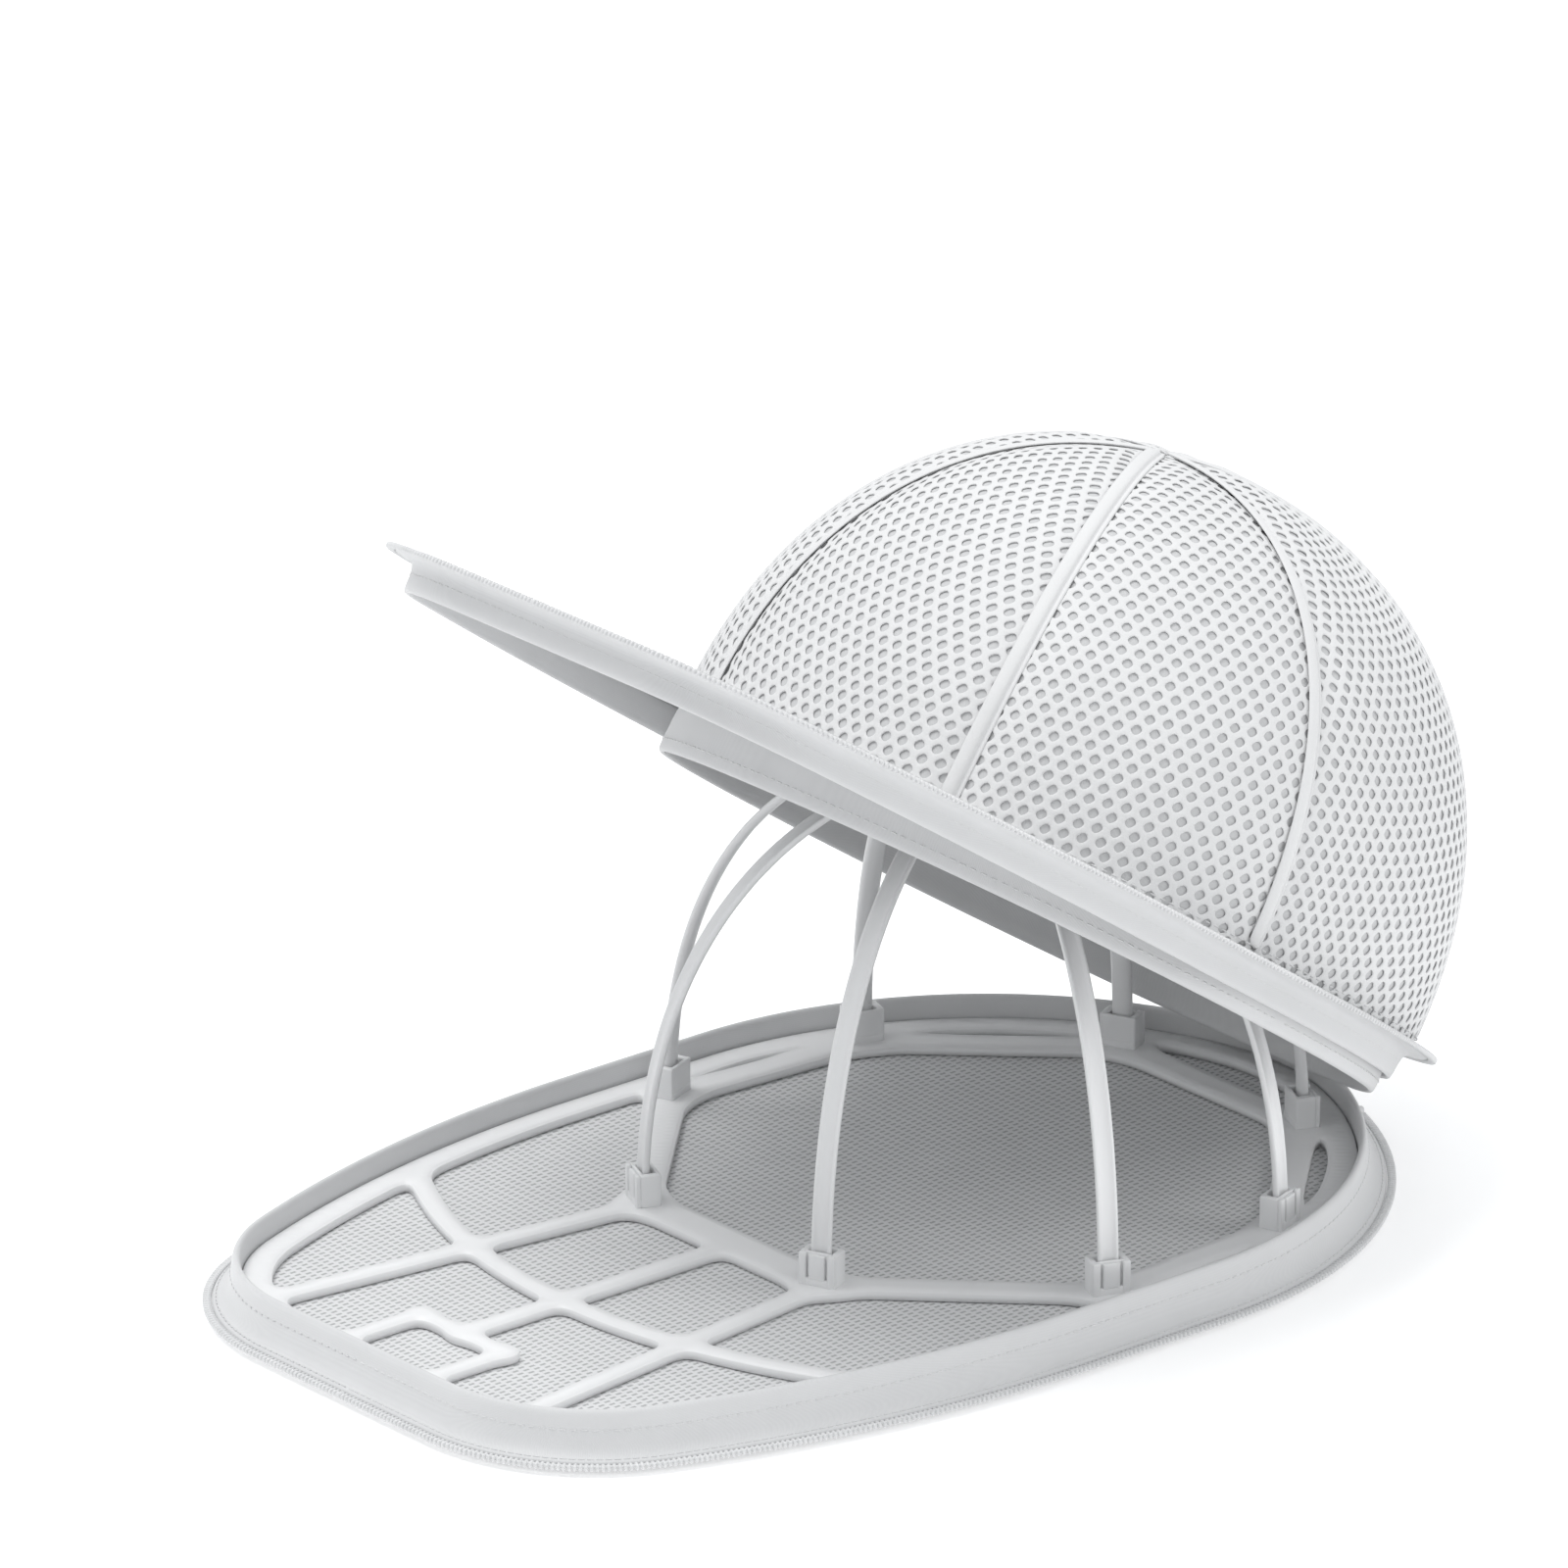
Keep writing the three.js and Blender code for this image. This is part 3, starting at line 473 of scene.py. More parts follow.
def tooth_row(z):
    bm = bmesh.new()
    for place in on_rim(CHAIN_MIDDLE, z, TOOTH_PITCH, 0.0, 29.0):
        bmesh.ops.create_cube(bm, size=1, matrix=place @ Matrix.Diagonal((0.85, 2.2, 1.35, 1)))
    bmesh.ops.bevel(
        bm, geom=bm.edges[:], offset=0.24, affect="EDGES", segments=1, profile=0.5, material=-1)
    bmesh.ops.recalc_face_normals(bm, faces=bm.faces)
    return bm


def cord_edge(z):
    """The corded edge that the teeth are moulded on, round in section."""
    ring = [(1.45 + 0.55 * math.cos(a), z + 0.5 * math.sin(a)) for a in np.linspace(0, 2 * math.pi, 9)[:-1]]
    return rim(ring, 29.0)


piece(tooth_row(2.4), "base_teeth", "base", zip_finish, ["base_zip_chain"])
piece(tooth_row(23.8), "lid_teeth", "lid", zip_finish, ["lid_zip_chain"], on_lid=True)
piece(cord_edge(2.4), "base_zip_cord", "base", tape_finish)
piece(cord_edge(23.8), "lid_zip_cord", "lid", tape_finish, on_lid=True)

# The floor frame: one injection moulding in white polypropylene with a satin skin. Flat bars
# 2.5 mm thick run between an outer ring and the eight-sided crown ring, filleted at every corner.
FRAME_UNDER = 6.2
FRAME_TOP = 8.7
RING = (9.95, 17.3)
FEET = [(34.0, -28.0), (83.0, 22.0), (79.1, 82.0), (34.0, 130.0)]
CROSS_BAR = (79.3, 162.0)
LOOP = (16.0, -113.9)
FRONT_RING_Y = -140.15

resin_finish = Finish("satin_polypropylene", 0.34)
resin_place = resin_finish.place()
resin_cloud = resin_finish.noise(resin_place, 0.03, 3.0)
resin_skin = resin_finish.noise(resin_place, 1.8, 2.0)
resin_finish.colour((0.83, 0.835, 0.84), (0.90, 0.902, 0.905), resin_cloud)
resin_finish.rough(0.28 + resin_cloud * 0.12 + resin_skin * 0.06)
resin_finish.relief(resin_skin, 0.012)


def bar(x, y, start, end, width):
    """Signed distance to a round-ended bar, the left-hand one too."""
    x = np.abs(x)
    along = (end[0] - start[0], end[1] - start[1])
    t = ((x - start[0]) * along[0] + (y - start[1]) * along[1]) / (along[0] ** 2 + along[1] ** 2)
    t = np.clip(t, 0, 1)
    return np.hypot(x - start[0] - t * along[0], y - start[1] - t * along[1]) - width / 2


def melted(parts, fillet):
    """The union of distances, with its inner corners filled to about that radius."""
    total = parts[0]
    for part in parts[1:]:
        near = np.maximum(fillet - np.abs(total - part), 0) / fillet
        total = np.minimum(total, part) - near ** 2 * fillet / 4
    return total


def frame_field(x, y):
    inset = inset_at(x, y)
    crown = [bar(x, y, (0, FEET[0][1]), FEET[0], 11)]
    crown += [bar(x, y, a, b, 8.5) for a, b in zip(FEET, FEET[1:])]
    crown.append(bar(x, y, (0, FEET[3][1]), FEET[3], 9))
    bars = [
        bar(x, y, (47.5, -137.5), FEET[0], 5.5), bar(x, y, FEET[3], (44, 137.5), 5.5),
        bar(x, y, (0, LOOP[1]), (0, FEET[0][1]), 5.5),
        bar(x, y, (LOOP[0], FRONT_RING_Y), (LOOP[0], LOOP[1]), 5), bar(x, y, (0, LOOP[1]), LOOP, 5),
        np.maximum(np.abs(np.hypot(x, y - CROSS_BAR[0]) - CROSS_BAR[1]) - 2.75, y),
    ]
    open_ring = inset - RING[1]
    return np.maximum(melted([melted(crown, 9.0), open_ring, *bars], 4.5), RING[0] - inset)


frame_bm = trimmed_sheet(frame_field, 1.6, (-97, -146), (97, 154), FRAME_TOP)
bmesh.ops.recalc_face_normals(frame_bm, faces=frame_bm.faces)
if frame_bm.faces[:][0].normal.z < 0:
    bmesh.ops.reverse_faces(frame_bm, faces=frame_bm.faces)
for thickness, depth in ((0.22, 0.05), (0.25, 0.12), (0.25, 0.28)):
    bmesh.ops.inset_region(
        frame_bm, faces=[f for f in frame_bm.faces if f.select is False and f.normal.z > 0.99],
        thickness=thickness, depth=depth, use_boundary=True, use_even_offset=False)
top = max(v.co.z for v in frame_bm.verts)
bmesh.ops.translate(frame_bm, verts=frame_bm.verts, vec=(0, 0, FRAME_TOP - top))
under = bmesh.ops.extrude_face_region(frame_bm, geom=frame_bm.faces[:], use_keep_orig=True)
for vert in under["geom"]:
    if isinstance(vert, bmesh.types.BMVert):
        vert.co.z = FRAME_UNDER
bmesh.ops.recalc_face_normals(frame_bm, faces=frame_bm.faces)
piece(frame_bm, "frame_grid", "base", resin_finish, ["inner_frame"])

# The eight sockets stand on the frame where the bars meet. Each is a block with a pocket for a
# rib's foot, and a springy tongue between two slits on its outward face, all one with the frame.
CAGE_Y = 54.0


def soft_block(bm, place, size, edge=0.45):
    made = bmesh.ops.create_cube(bm, size=1, matrix=place @ Matrix.Diagonal((*size, 1)))
    edges = {e for v in made["verts"] for e in v.link_edges}
    return bmesh.ops.bevel(
        bm, geom=list(edges), offset=edge, affect="EDGES", segments=2, profile=0.5, material=-1)


def feet_places():
    for x, y in FEET:
        for side in (1, -1):
            turn = Matrix.Rotation(math.atan2(y - CAGE_Y, side * x), 4, "Z")
            yield Matrix.Translation((side * x, y, FRAME_TOP)) @ turn


sockets = bmesh.new()
for foot in feet_places():
    for side in (1, -1):
        soft_block(sockets, foot @ Matrix.Translation((-0.4, side * 4.1, 4.15)), (5.3, 1.8, 8.7))
        soft_block(sockets, foot @ Matrix.Translation((2.75, side * 3.95, 4.15)), (1.2, 2.0, 8.7), 0.35)
    soft_block(sockets, foot @ Matrix.Translation((-2.6, 0, 4.15)), (1.0, 8.0, 8.7), 0.3)
    soft_block(sockets, foot @ Matrix.Translation((1.75, 0, 4.15)), (0.8, 8.0, 8.7), 0.2)
    soft_block(sockets, foot @ Matrix.Translation((2.75, 0, 4.9)), (1.1, 4.4, 6.6), 0.35)
    soft_block(sockets, foot @ Matrix.Translation((0, 0, 0.8)), (6.4, 9.6, 2.2), 0.4)
piece(sockets, "frame_sockets", "base", resin_finish)

# The rib cage: eight curved ribs in the same resin, each a shallow channel with raised edges.
# A rib snaps into its socket at the foot and into the round hub at the top.
CAGE_HEIGHT = 106.25
CAGE_POWER = 2 / 2.2
HUB_RADIUS = 11.0
RIB_SECTION = [
    (-2.7, -1.15), (2.7, -1.15), (2.75, 0.9), (2.45, 1.25), (1.75, 1.2), (1.45, 0.45), (-1.45, 0.45),
    (-1.75, 1.2), (-2.45, 1.25), (-2.75, 0.9),
]


def carried(bm, section, places):
    """A closed section carried through a list of 4x4 places, with both ends capped."""
    ring = [bm.verts.new(places[0] @ Vector((x, y, 0))) for x, y in section]
    bm.faces.new(ring)
    edges = [bm.edges.get(pair) for pair in zip(ring, ring[1:] + ring[:1])]
    for before, after in zip(places, places[1:]):
        made = bmesh.ops.extrude_edge_only(bm, edges=edges)
        moved = [v for v in made["geom"] if isinstance(v, bmesh.types.BMVert)]
        bmesh.ops.transform(bm, matrix=after @ before.inverted(), verts=moved)
        edges = [e for e in made["geom"] if isinstance(e, bmesh.types.BMEdge) and all(v in moved for v in e.verts)]
    bmesh.ops.edgeloop_fill(bm, edges=edges)


def rib_places(radius):
    """Places up a rib's quarter superellipse, in its own upright plane: X across, Y outward."""
    last = math.acos((HUB_RADIUS / radius) ** (1 / CAGE_POWER))
    spots = []
    for i in range(41):
        t = last * i / 40
        up = CAGE_HEIGHT * math.sin(t) ** CAGE_POWER
        spots.append(Vector((radius * math.cos(t) ** CAGE_POWER, 0, FRAME_TOP + max(up, 0))))
    spots[0].z = FRAME_TOP + 2.3
    spots = [s for i, s in enumerate(spots) if i == 0 or s.z > spots[0].z + 1]
    for i, spot in enumerate(spots):
        way = (spots[min(i + 1, len(spots) - 1)] - spots[max(i - 1, 0)]).normalized()
        across = Vector((0, 1, 0))
        outward = across.cross(way)
        yield Matrix.Translation(spot) @ Matrix((across, outward, way)).transposed().to_4x4()


for number, (x, y) in enumerate([*FEET, *[(-x, y) for x, y in reversed(FEET)]]):
    turn = Matrix.Translation((0, CAGE_Y, 0)) @ Matrix.Rotation(math.atan2(y - CAGE_Y, x), 4, "Z")
    rib = bmesh.new()
    carried(rib, RIB_SECTION, [turn @ place for place in rib_places(math.hypot(x, y - CAGE_Y))])
    bmesh.ops.recalc_face_normals(rib, faces=rib.faces)
    name = f"cage_rib_{number + 1}"
    piece(rib, f"rib_{number + 1}", "base", resin_finish, [name], levels=1)

hub = bmesh.new()
hub_top = FRAME_TOP + CAGE_HEIGHT + 1.25
hub_profile = [
    (0, -3.9), (9.6, -3.9), (10.3, -3.5), (10.65, -2.8), (10.65, -0.9), (10.2, -0.2), (9.2, 0), (8.4, -0.2),
    (7.9, -0.9), (3.4, -0.9), (2.8, -0.3), (1.9, -0.05), (0, 0),
]
spokes = [hub.verts.new((r, 0, hub_top + z)) for r, z in hub_profile]
profile_edges = [hub.edges.new(pair) for pair in zip(spokes, spokes[1:])]
bmesh.ops.spin(hub, geom=profile_edges, cent=(0, 0, 0), axis=(0, 0, 1), angle=2 * math.pi, steps=48, use_merge=True)
bmesh.ops.remove_doubles(hub, verts=hub.verts, dist=0.01)
bmesh.ops.recalc_face_normals(hub, faces=hub.faces)
bmesh.ops.translate(hub, verts=hub.verts, vec=(0, CAGE_Y, 0))
piece(hub, "hub", "base", resin_finish, ["cage_hub"])

# The lid rim: the same padded band as the base's, with a lighter flared lip out to its row of
# teeth. It hangs from the lid's plane, and shuts down onto the base rim.
LID_Z = 23.8
lid_section = [
    (2.4, 23.1), (2.4, 24.45), (3.4, 24.75), (5.6, 24.7), (8.0, 24.75), (8.6, 24.4), (8.75, 23.7), (9.6, 23.5),
    (10.45, 23.3), (10.5, 21.5), (10.5, 17.0), (10.35, 15.5), (9.9, 14.95), (9.2, 14.95), (8.8, 15.5),
    (8.65, 17.5), (8.55, 20.0), (8.1, 21.8), (7.1, 22.8), (5.2, 23.1),
]
# The lid rim takes the rim knit's painted shade as well.
lid_rim = piece(
    rim(lid_section), "lid_rim", "lid", shaded_rim_finish, ["lid_band", "lid_zip_tape"], levels=1, on_lid=True)
lid_rows = [*on_rim(4.4, 24.78, 2.2, 0.0, 28.0), *on_rim(8.6, 19.6, 2.6, math.radians(88))]
piece(stitch_row(lid_rows, 2.2, 0.55), "lid_stitching", "lid", thread_finish, on_lid=True)

# The lid's net: an open spacer net of rounded white threads with staggered oval holes, over a
# close smooth lining that shows through them, coloured darker as painted shade inside the holes. Flat over the cap's
# peak.
NET_ACROSS = 4.6
NET_ALONG = 3.3
NET_THREAD = 0.85
HOLE_SHAPE = (0.92, 1.2)
MESH_TIP = 2.7
CROWN_HALF_X = 95.5
CROWN_HALF_Y = 97.0
CROWN_Y = 47.0
CROWN_SQUARE = 2.3
CROWN_ROUND = 2.14
CROWN_HIGH = 109.0
CROWN_FOOT = 25.3
SEAM_Y = 20.0
SEAMS = [-53, 5, 64, 116, 175, 233]

net_finish = Finish("spacer_net", 0.72, 0.35)
net_place = net_finish.place()
net_cloud = net_finish.noise(net_place, 0.05, 3.0)
net_yarn = net_finish.noise(net_place, 2.6, 3.0)
net_finish.colour((0.72, 0.723, 0.727), (0.82, 0.821, 0.823), net_cloud * 0.5 + net_yarn * 0.5)
net_finish.relief(net_yarn, 0.10)
# The lining's colour is darker than the threads: painted shade for the holes, not a darker cloth.
shaded_lining_finish = woven("net_lining_painted_shade", (0.58, 0.584, 0.59), (0.65, 0.653, 0.658), 0.5, 0.05, 0.8)


def net_sheet(low, high):
    """A flat net in (across, along) millimetres, on z = 0: six-sided meshes, still filled."""
    bm = bmesh.new()
    rows = math.ceil((high[1] - low[1]) / NET_ALONG) + 1
    columns = math.ceil((high[0] - low[0]) / NET_ACROSS) + 1
    for j in range(rows):
        for i in range(columns):
            x = low[0] + (i + 0.5 * (j % 2)) * NET_ACROSS
            y = low[1] + j * NET_ALONG
            place = Matrix.Translation((x, y, 0)) @ Matrix.Scale(NET_ACROSS / math.sqrt(3), 4)
            mesh_ring = bmesh.ops.create_circle(bm, cap_ends=True, segments=6, radius=1, matrix=place)
            for v in mesh_ring["verts"]:
                tip = abs(v.co.x - x) < 0.1
                v.co.y = y + math.copysign(MESH_TIP if tip else NET_ALONG - MESH_TIP, v.co.y - y)
    bmesh.ops.remove_doubles(bm, verts=bm.verts, dist=0.05)
    return bm


def open_meshes(bm, thread=NET_THREAD):
    holes = bm.faces[:]
    bmesh.ops.inset_individual(bm, faces=holes, thickness=thread, use_even_offset=True)
    for hole in holes:
        centre = hole.calc_center_median()
        bmesh.ops.scale(bm, vec=(*HOLE_SHAPE, 1), space=Matrix.Translation(-centre), verts=hole.verts)
    bmesh.ops.delete(bm, geom=holes, context="FACES")


def crown_ratio(x, y):
    return (np.abs(x / CROWN_HALF_X) ** CROWN_SQUARE + np.abs((y - CROWN_Y) / CROWN_HALF_Y) ** CROWN_SQUARE) ** (
        1 / CROWN_SQUARE)


def brim_field(lap):
    def field(x, y):
        outside_crown = (1 - crown_ratio(x, y)) * CROWN_HALF_X - lap
        return np.maximum(9.2 - inset_at(x, y), outside_crown)
    return field


brim_lining = trimmed_sheet(brim_field(5.0), 2.5, (-106, -154), (106, 162), LID_Z + 0.1)
brim_area = sum(face.calc_area() for face in brim_lining.faces) * 1e-6
bmesh.ops.recalc_face_normals(brim_lining, faces=brim_lining.faces)
lining = piece(
    brim_lining, "brim_lining", "lid", shaded_lining_finish, ["brim_cover"], wall=0.35, on_lid=True)
brim_net = net_sheet((-104, -150), (104, 160))
spots = np.array([face.calc_center_median() for face in brim_net.faces])
outside = brim_field(4.0)(spots[:, 0], spots[:, 1]) > -1.2
bmesh.ops.delete(brim_net, geom=[f for f, out in zip(brim_net.faces, outside) if out], context="FACES")
open_meshes(brim_net)
bmesh.ops.recalc_face_normals(brim_net, faces=brim_net.faces)
bmesh.ops.translate(brim_net, verts=brim_net.verts, vec=(0, 0, LID_Z + 1.2))
net = piece(brim_net, "brim_net", "lid", net_finish, wall=0.7, on_lid=True)

# The crown: six gores of the same net and lining, sewn to each other along seams that run down
# from one point, puffed a little between them. The lining keeps the gores' shape.
SEAM_GAP = 0.35
PUFF = 1.6


class Gore:
    """A gore's surface: across and along it in millimetres, to a place on the crown."""

    def __init__(self, start, end):
        self.start, self.end = math.radians(start), math.radians(end)
        self.middle = (self.start + self.end) / 2
        self.angles = np.linspace(self.start - 0.25, self.end + 0.25, 61)
        self.along = np.linspace(0, 200, 401)
        self.reaches, self.heights, self.ends = [], [], []
        for angle in self.angles:
            low, high = 0.0, 300.0
            for _ in range(40):
                half = (low + high) / 2
                beyond = crown_ratio(half * math.cos(angle), SEAM_Y + half * math.sin(angle)) > 1
                low, high = (low, half) if beyond else (half, high)
            t = low * np.sin(np.linspace(0, math.pi / 2, 160))
            ratio = np.minimum(crown_ratio(t * math.cos(angle), SEAM_Y + t * math.sin(angle)), 1)
            z = CROWN_HIGH * (1 - ratio ** CROWN_ROUND) ** (1 / CROWN_ROUND)
            run = np.concatenate([[0], np.cumsum(np.hypot(np.diff(t), np.diff(z)))])
            self.ends.append(run[-1])
            self.reaches.append(np.interp(self.along, run, t))
            self.heights.append(np.interp(self.along, run, z))
        self.length = float(np.interp(self.middle, self.angles, self.ends))

    def reach(self, along):
        return np.interp(along, self.along, self.reaches[len(self.angles) // 2])

    def place(self, across, along, inward):
        """Points for arrays of across and along; below the foot they drop straight down."""
        reach = np.maximum(self.reach(along), 0.5)
        turn = np.clip(across / reach, self.angles[0] - self.middle, self.angles[-1] - self.middle)
        spot = (turn + self.middle - self.angles[0]) / (self.angles[1] - self.angles[0])
        k = np.clip(spot.astype(int), 0, len(self.angles) - 2)
        mix = spot - k
        up = np.clip(along / (self.along[1] - self.along[0]), 0, len(self.along) - 1.001)
        j = up.astype(int)
        rise = up - j
        found = []
        for table in (np.array(self.reaches), np.array(self.heights)):
            a = table[k, j] * (1 - rise) + table[k, j + 1] * rise
            b = table[k + 1, j] * (1 - rise) + table[k + 1, j + 1] * rise
            found.append(a * (1 - mix) + b * mix)
        ends = np.array(self.ends)
        below = np.maximum(along - (ends[k] * (1 - mix) + ends[k + 1] * mix), 0)
        x = found[0] * np.cos(turn + self.middle)
        y = SEAM_Y + found[0] * np.sin(turn + self.middle)
        half = np.where(turn > 0, self.end - self.middle, self.middle - self.start)
        edge = np.maximum((half - np.abs(turn)) * reach, 0)
        swell = PUFF * (np.minimum(edge / 9, 1) - 1)
        return np.stack([x, y, found[1] - below], 1), swell - inward

    def carry(self, bm, inward):
        """Bends a flat sheet onto the gore, then trims it at both seams and at the foot."""
        flat = np.array([v.co for v in bm.verts])
        points, drop = self.place(flat[:, 0], flat[:, 1], inward)
        centre = np.array([0, CROWN_Y, 0])
        out = points - centre
        normal = out / np.array([CROWN_HALF_X ** 2, CROWN_HALF_Y ** 2, CROWN_HIGH ** 2])
        normal /= np.linalg.norm(normal, axis=1)[:, None]
        for v, at, push in zip(bm.verts, points, normal * (drop + flat[:, 2])[:, None]):
            v.co = Vector(at + push) + Vector((0, 0, CROWN_FOOT))
        bm.normal_update()
        seam_point = Vector((0, SEAM_Y, 0))
        for angle, side in ((self.start, 1), (self.end, -1)):
            away = Vector((-math.sin(angle), math.cos(angle), 0)) * side
            bmesh.ops.bisect_plane(
                bm, geom=bm.verts[:] + bm.edges[:] + bm.faces[:], plane_co=seam_point + away * SEAM_GAP,
                plane_no=-away, clear_outer=True, dist=0.02)
        bmesh.ops.bisect_plane(
            bm, geom=bm.verts[:] + bm.edges[:] + bm.faces[:], plane_co=(0, 0, CROWN_FOOT - 0.2),
            plane_no=(0, 0, -1), clear_outer=True, dist=0.02)


def face_outward(bm):
    """Turns every face of an open sheet away from the crown's inside."""
    inside = Vector((0, CROWN_Y, CROWN_FOOT))
    turned = [f for f in bm.faces if f.normal.dot(f.calc_center_median() - inside) < 0]
    bmesh.ops.reverse_faces(bm, faces=turned)


for number, start in enumerate(SEAMS):
    end = SEAMS[number + 1] if number + 1 < len(SEAMS) else SEAMS[0] + 360
    gore = Gore(start, end)
    half_width = math.sin((gore.end - gore.start) / 2) * gore.reach(gore.length) * 1.12 + 6
    close = bmesh.new()
    box = Matrix.Translation((0, gore.length / 2 + 4, 0)) @ Matrix.Diagonal((half_width, gore.length / 2 + 4, 1, 1))
    bmesh.ops.create_grid(close, x_segments=44, y_segments=56, size=1, matrix=box)
    gore.carry(close, 0.6)
    gore_area = sum(face.calc_area() for face in close.faces) * 1e-6
    face_outward(close)
    lining = piece(
        close, f"gore_lining_{number + 1}", "lid", shaded_lining_finish, [f"crown_panel_{number + 1}"],
        wall=0.5, on_lid=True)
    open_net = net_sheet((-half_width, 1.0), (half_width, gore.length + 6))
    open_meshes(open_net)
    gore.carry(open_net, 0.0)
    face_outward(open_net)
    net = piece(
        open_net, f"gore_net_{number + 1}", "lid", net_finish, wall=0.55, levels=1, on_lid=True)
    flat = (0.001 * min(2 * half_width, 160), 0.001 * (gore.length + 4))
    min(gore_area, flat[0] * flat[1])

# Each crown seam is closed on the inside by a flat tape of woven polyester, 9 mm wide, and topped
# outside by the soft fold of the two net edges, which stands a little proud of the gores.
TAPE_WIDTH = 9.0


def seam_line(angle, steps):
    """Places down a seam, from near the crown's meeting point to its foot: X across it, Z outward."""
    gore = Gore(math.degrees(angle) - 10, math.degrees(angle) + 10)
    along = np.linspace(2.5, gore.length - 0.6, steps)
    zero = np.zeros_like(along)
    points, _ = gore.place(zero, along, 0.0)
    for i, point in enumerate(points):
        way = Vector(points[min(i + 1, steps - 1)] - points[max(i - 1, 0)]).normalized()
        across = Vector((-math.sin(angle), math.cos(angle), 0))
        outward = way.cross(across)
        if outward.z < 0:
            outward = -outward
        spot = Vector(point) + Vector((0, 0, CROWN_FOOT))
        yield Matrix.Translation(spot) @ Matrix((across, outward, across.cross(outward))).transposed().to_4x4()


FOLD_SECTION = [
    (-4.2, -1.5), (-3.7, -0.9), (-2.8, -0.45), (-1.6, -0.2), (-0.5, -0.3), (-0.1, -1.0), (0.3, -1.1),
    (0.7, -0.75), (1.2, -0.8), (1.6, -1.5),
]
for number, degrees in enumerate(SEAMS):
    places = list(seam_line(math.radians(degrees), 44))
    flat = [(-TAPE_WIDTH / 2, -3.4), (TAPE_WIDTH / 2, -3.4), (TAPE_WIDTH / 2, -2.9), (-TAPE_WIDTH / 2, -2.9)]
    tape = bmesh.new()
    carried(tape, flat, places[6:])
    bmesh.ops.recalc_face_normals(tape, faces=tape.faces)
    tape_piece = piece(
        tape, f"inside_tape_{number + 1}", "lid", tape_finish, [f"seam_tape_{number + 1}"],
        smooth=False, on_lid=True)
    fold = bmesh.new()
    carried(fold, FOLD_SECTION, places)
    bmesh.ops.recalc_face_normals(fold, faces=fold.faces)
    piece(fold, f"seam_fold_{number + 1}", "lid", net_finish, levels=1, on_lid=True)

# The row of lockstitch that joins the crown's foot to the flat net and the rim, dark in its
# sunken line.
foot_places = []
FOOT_STITCHES = 230
for i in range(FOOT_STITCHES):
    angle = 2 * math.pi * (i + 0.5) / FOOT_STITCHES
    c, s = math.cos(angle), math.sin(angle)
    ratio = float(crown_ratio(CROWN_HALF_X * c, CROWN_Y + CROWN_HALF_Y * s))
    spot = Vector((CROWN_HALF_X * c / ratio, CROWN_Y + CROWN_HALF_Y * s / ratio, CROWN_FOOT + 1.3))
    heading = math.atan2(CROWN_HALF_Y * c, -CROWN_HALF_X * s)
    lean = Matrix.Rotation(math.radians(85), 4, "X")
    foot_places.append(Matrix.Translation(spot) @ Matrix.Rotation(heading, 4, "Z") @ lean)
piece(stitch_row(foot_places, 2.0, 0.6), "foot_stitching", "lid", thread_finish, on_lid=True)
EDGE_COUNT = 220


def crown_loop(inward, z, least_inset):
    """Points round the crown's plan, drawn in where the rim leaves less room than the crown takes."""
    points = []
    for i in range(EDGE_COUNT):
        angle = 2 * math.pi * i / EDGE_COUNT
        c, s = math.cos(angle), math.sin(angle)
        ratio = float(crown_ratio(CROWN_HALF_X * c, CROWN_Y + CROWN_HALF_Y * s))
        x, y = (CROWN_HALF_X - inward) * c / ratio, CROWN_Y + (CROWN_HALF_Y - inward) * s / ratio
        short = least_inset + inward - float(inset_at(np.array(x), np.array(y)))
        if short > 0:
            away = Vector((x, y - CROWN_Y)).normalized() * short * 1.04
            x, y = x - away.x, y - away.y
        points.append((x, y, z))
    return points


def banded(rings):
    """A closed band from a stack of loops, the last joined to the first."""
    bm = bmesh.new()
    loops = []
    for ring in rings:
        verts = [bm.verts.new(point) for point in ring]
        loops.append([bm.edges.new(pair) for pair in zip(verts, verts[1:] + verts[:1])])
    for lower, upper in zip(loops, loops[1:] + loops[:1]):
        bmesh.ops.bridge_loops(bm, edges=lower + upper)
    bmesh.ops.recalc_face_normals(bm, faces=bm.faces)
    return bm


# The collar: a stiffened cloth band that hangs from the crown's foot inside the rim and meets the
# cap's sides. Its lower edge is turned up in a narrow hem with one row of stitching.
COLLAR_LOW = 9.9
collar_rings = [
    (0.1, 23.4), (0.0, 18.0), (0.0, COLLAR_LOW + 4.2), (-0.1, COLLAR_LOW + 3.6), (-0.1, COLLAR_LOW + 0.7),
    (0.5, COLLAR_LOW), (1.4, COLLAR_LOW + 0.1), (1.9, COLLAR_LOW + 0.8), (1.9, COLLAR_LOW + 3.6),
    (1.6, COLLAR_LOW + 4.2), (1.6, 18.0), (1.5, 23.4),
]
# The collar takes the rim knit's colour, painted shade included.
collar = banded([crown_loop(0.1 + inward, z, 10.95) for inward, z in collar_rings])
collar_piece = piece(
    collar, "collar", "lid", shaded_rim_finish, ["crown_collar"], levels=1, on_lid=True)
hem_places = []
hem = crown_loop(-0.05, COLLAR_LOW + 3.3, 10.95)
for before, after in zip(hem, hem[1:]):
    a, b = Vector(before), Vector(after)
    heading = math.atan2(b.y - a.y, b.x - a.x)
    here = Matrix.Translation((a + b) / 2) @ Matrix.Rotation(heading, 4, "Z")
    hem_places.append(here @ Matrix.Rotation(math.radians(90), 4, "X"))
hem_stitches = piece(
    stitch_row(hem_places, 2.1, 0.5), "collar_stitching", "lid", thread_finish, on_lid=True)

# The hinge: a strip of the same tape cloth, sewn low on the base rim and up the back of the lid
# rim. It is all that joins lid and base; the real strip bends as the lid moves, and here it is drawn in one fixed
# bend for the lid as placed.
HINGE_HALF = 27.5


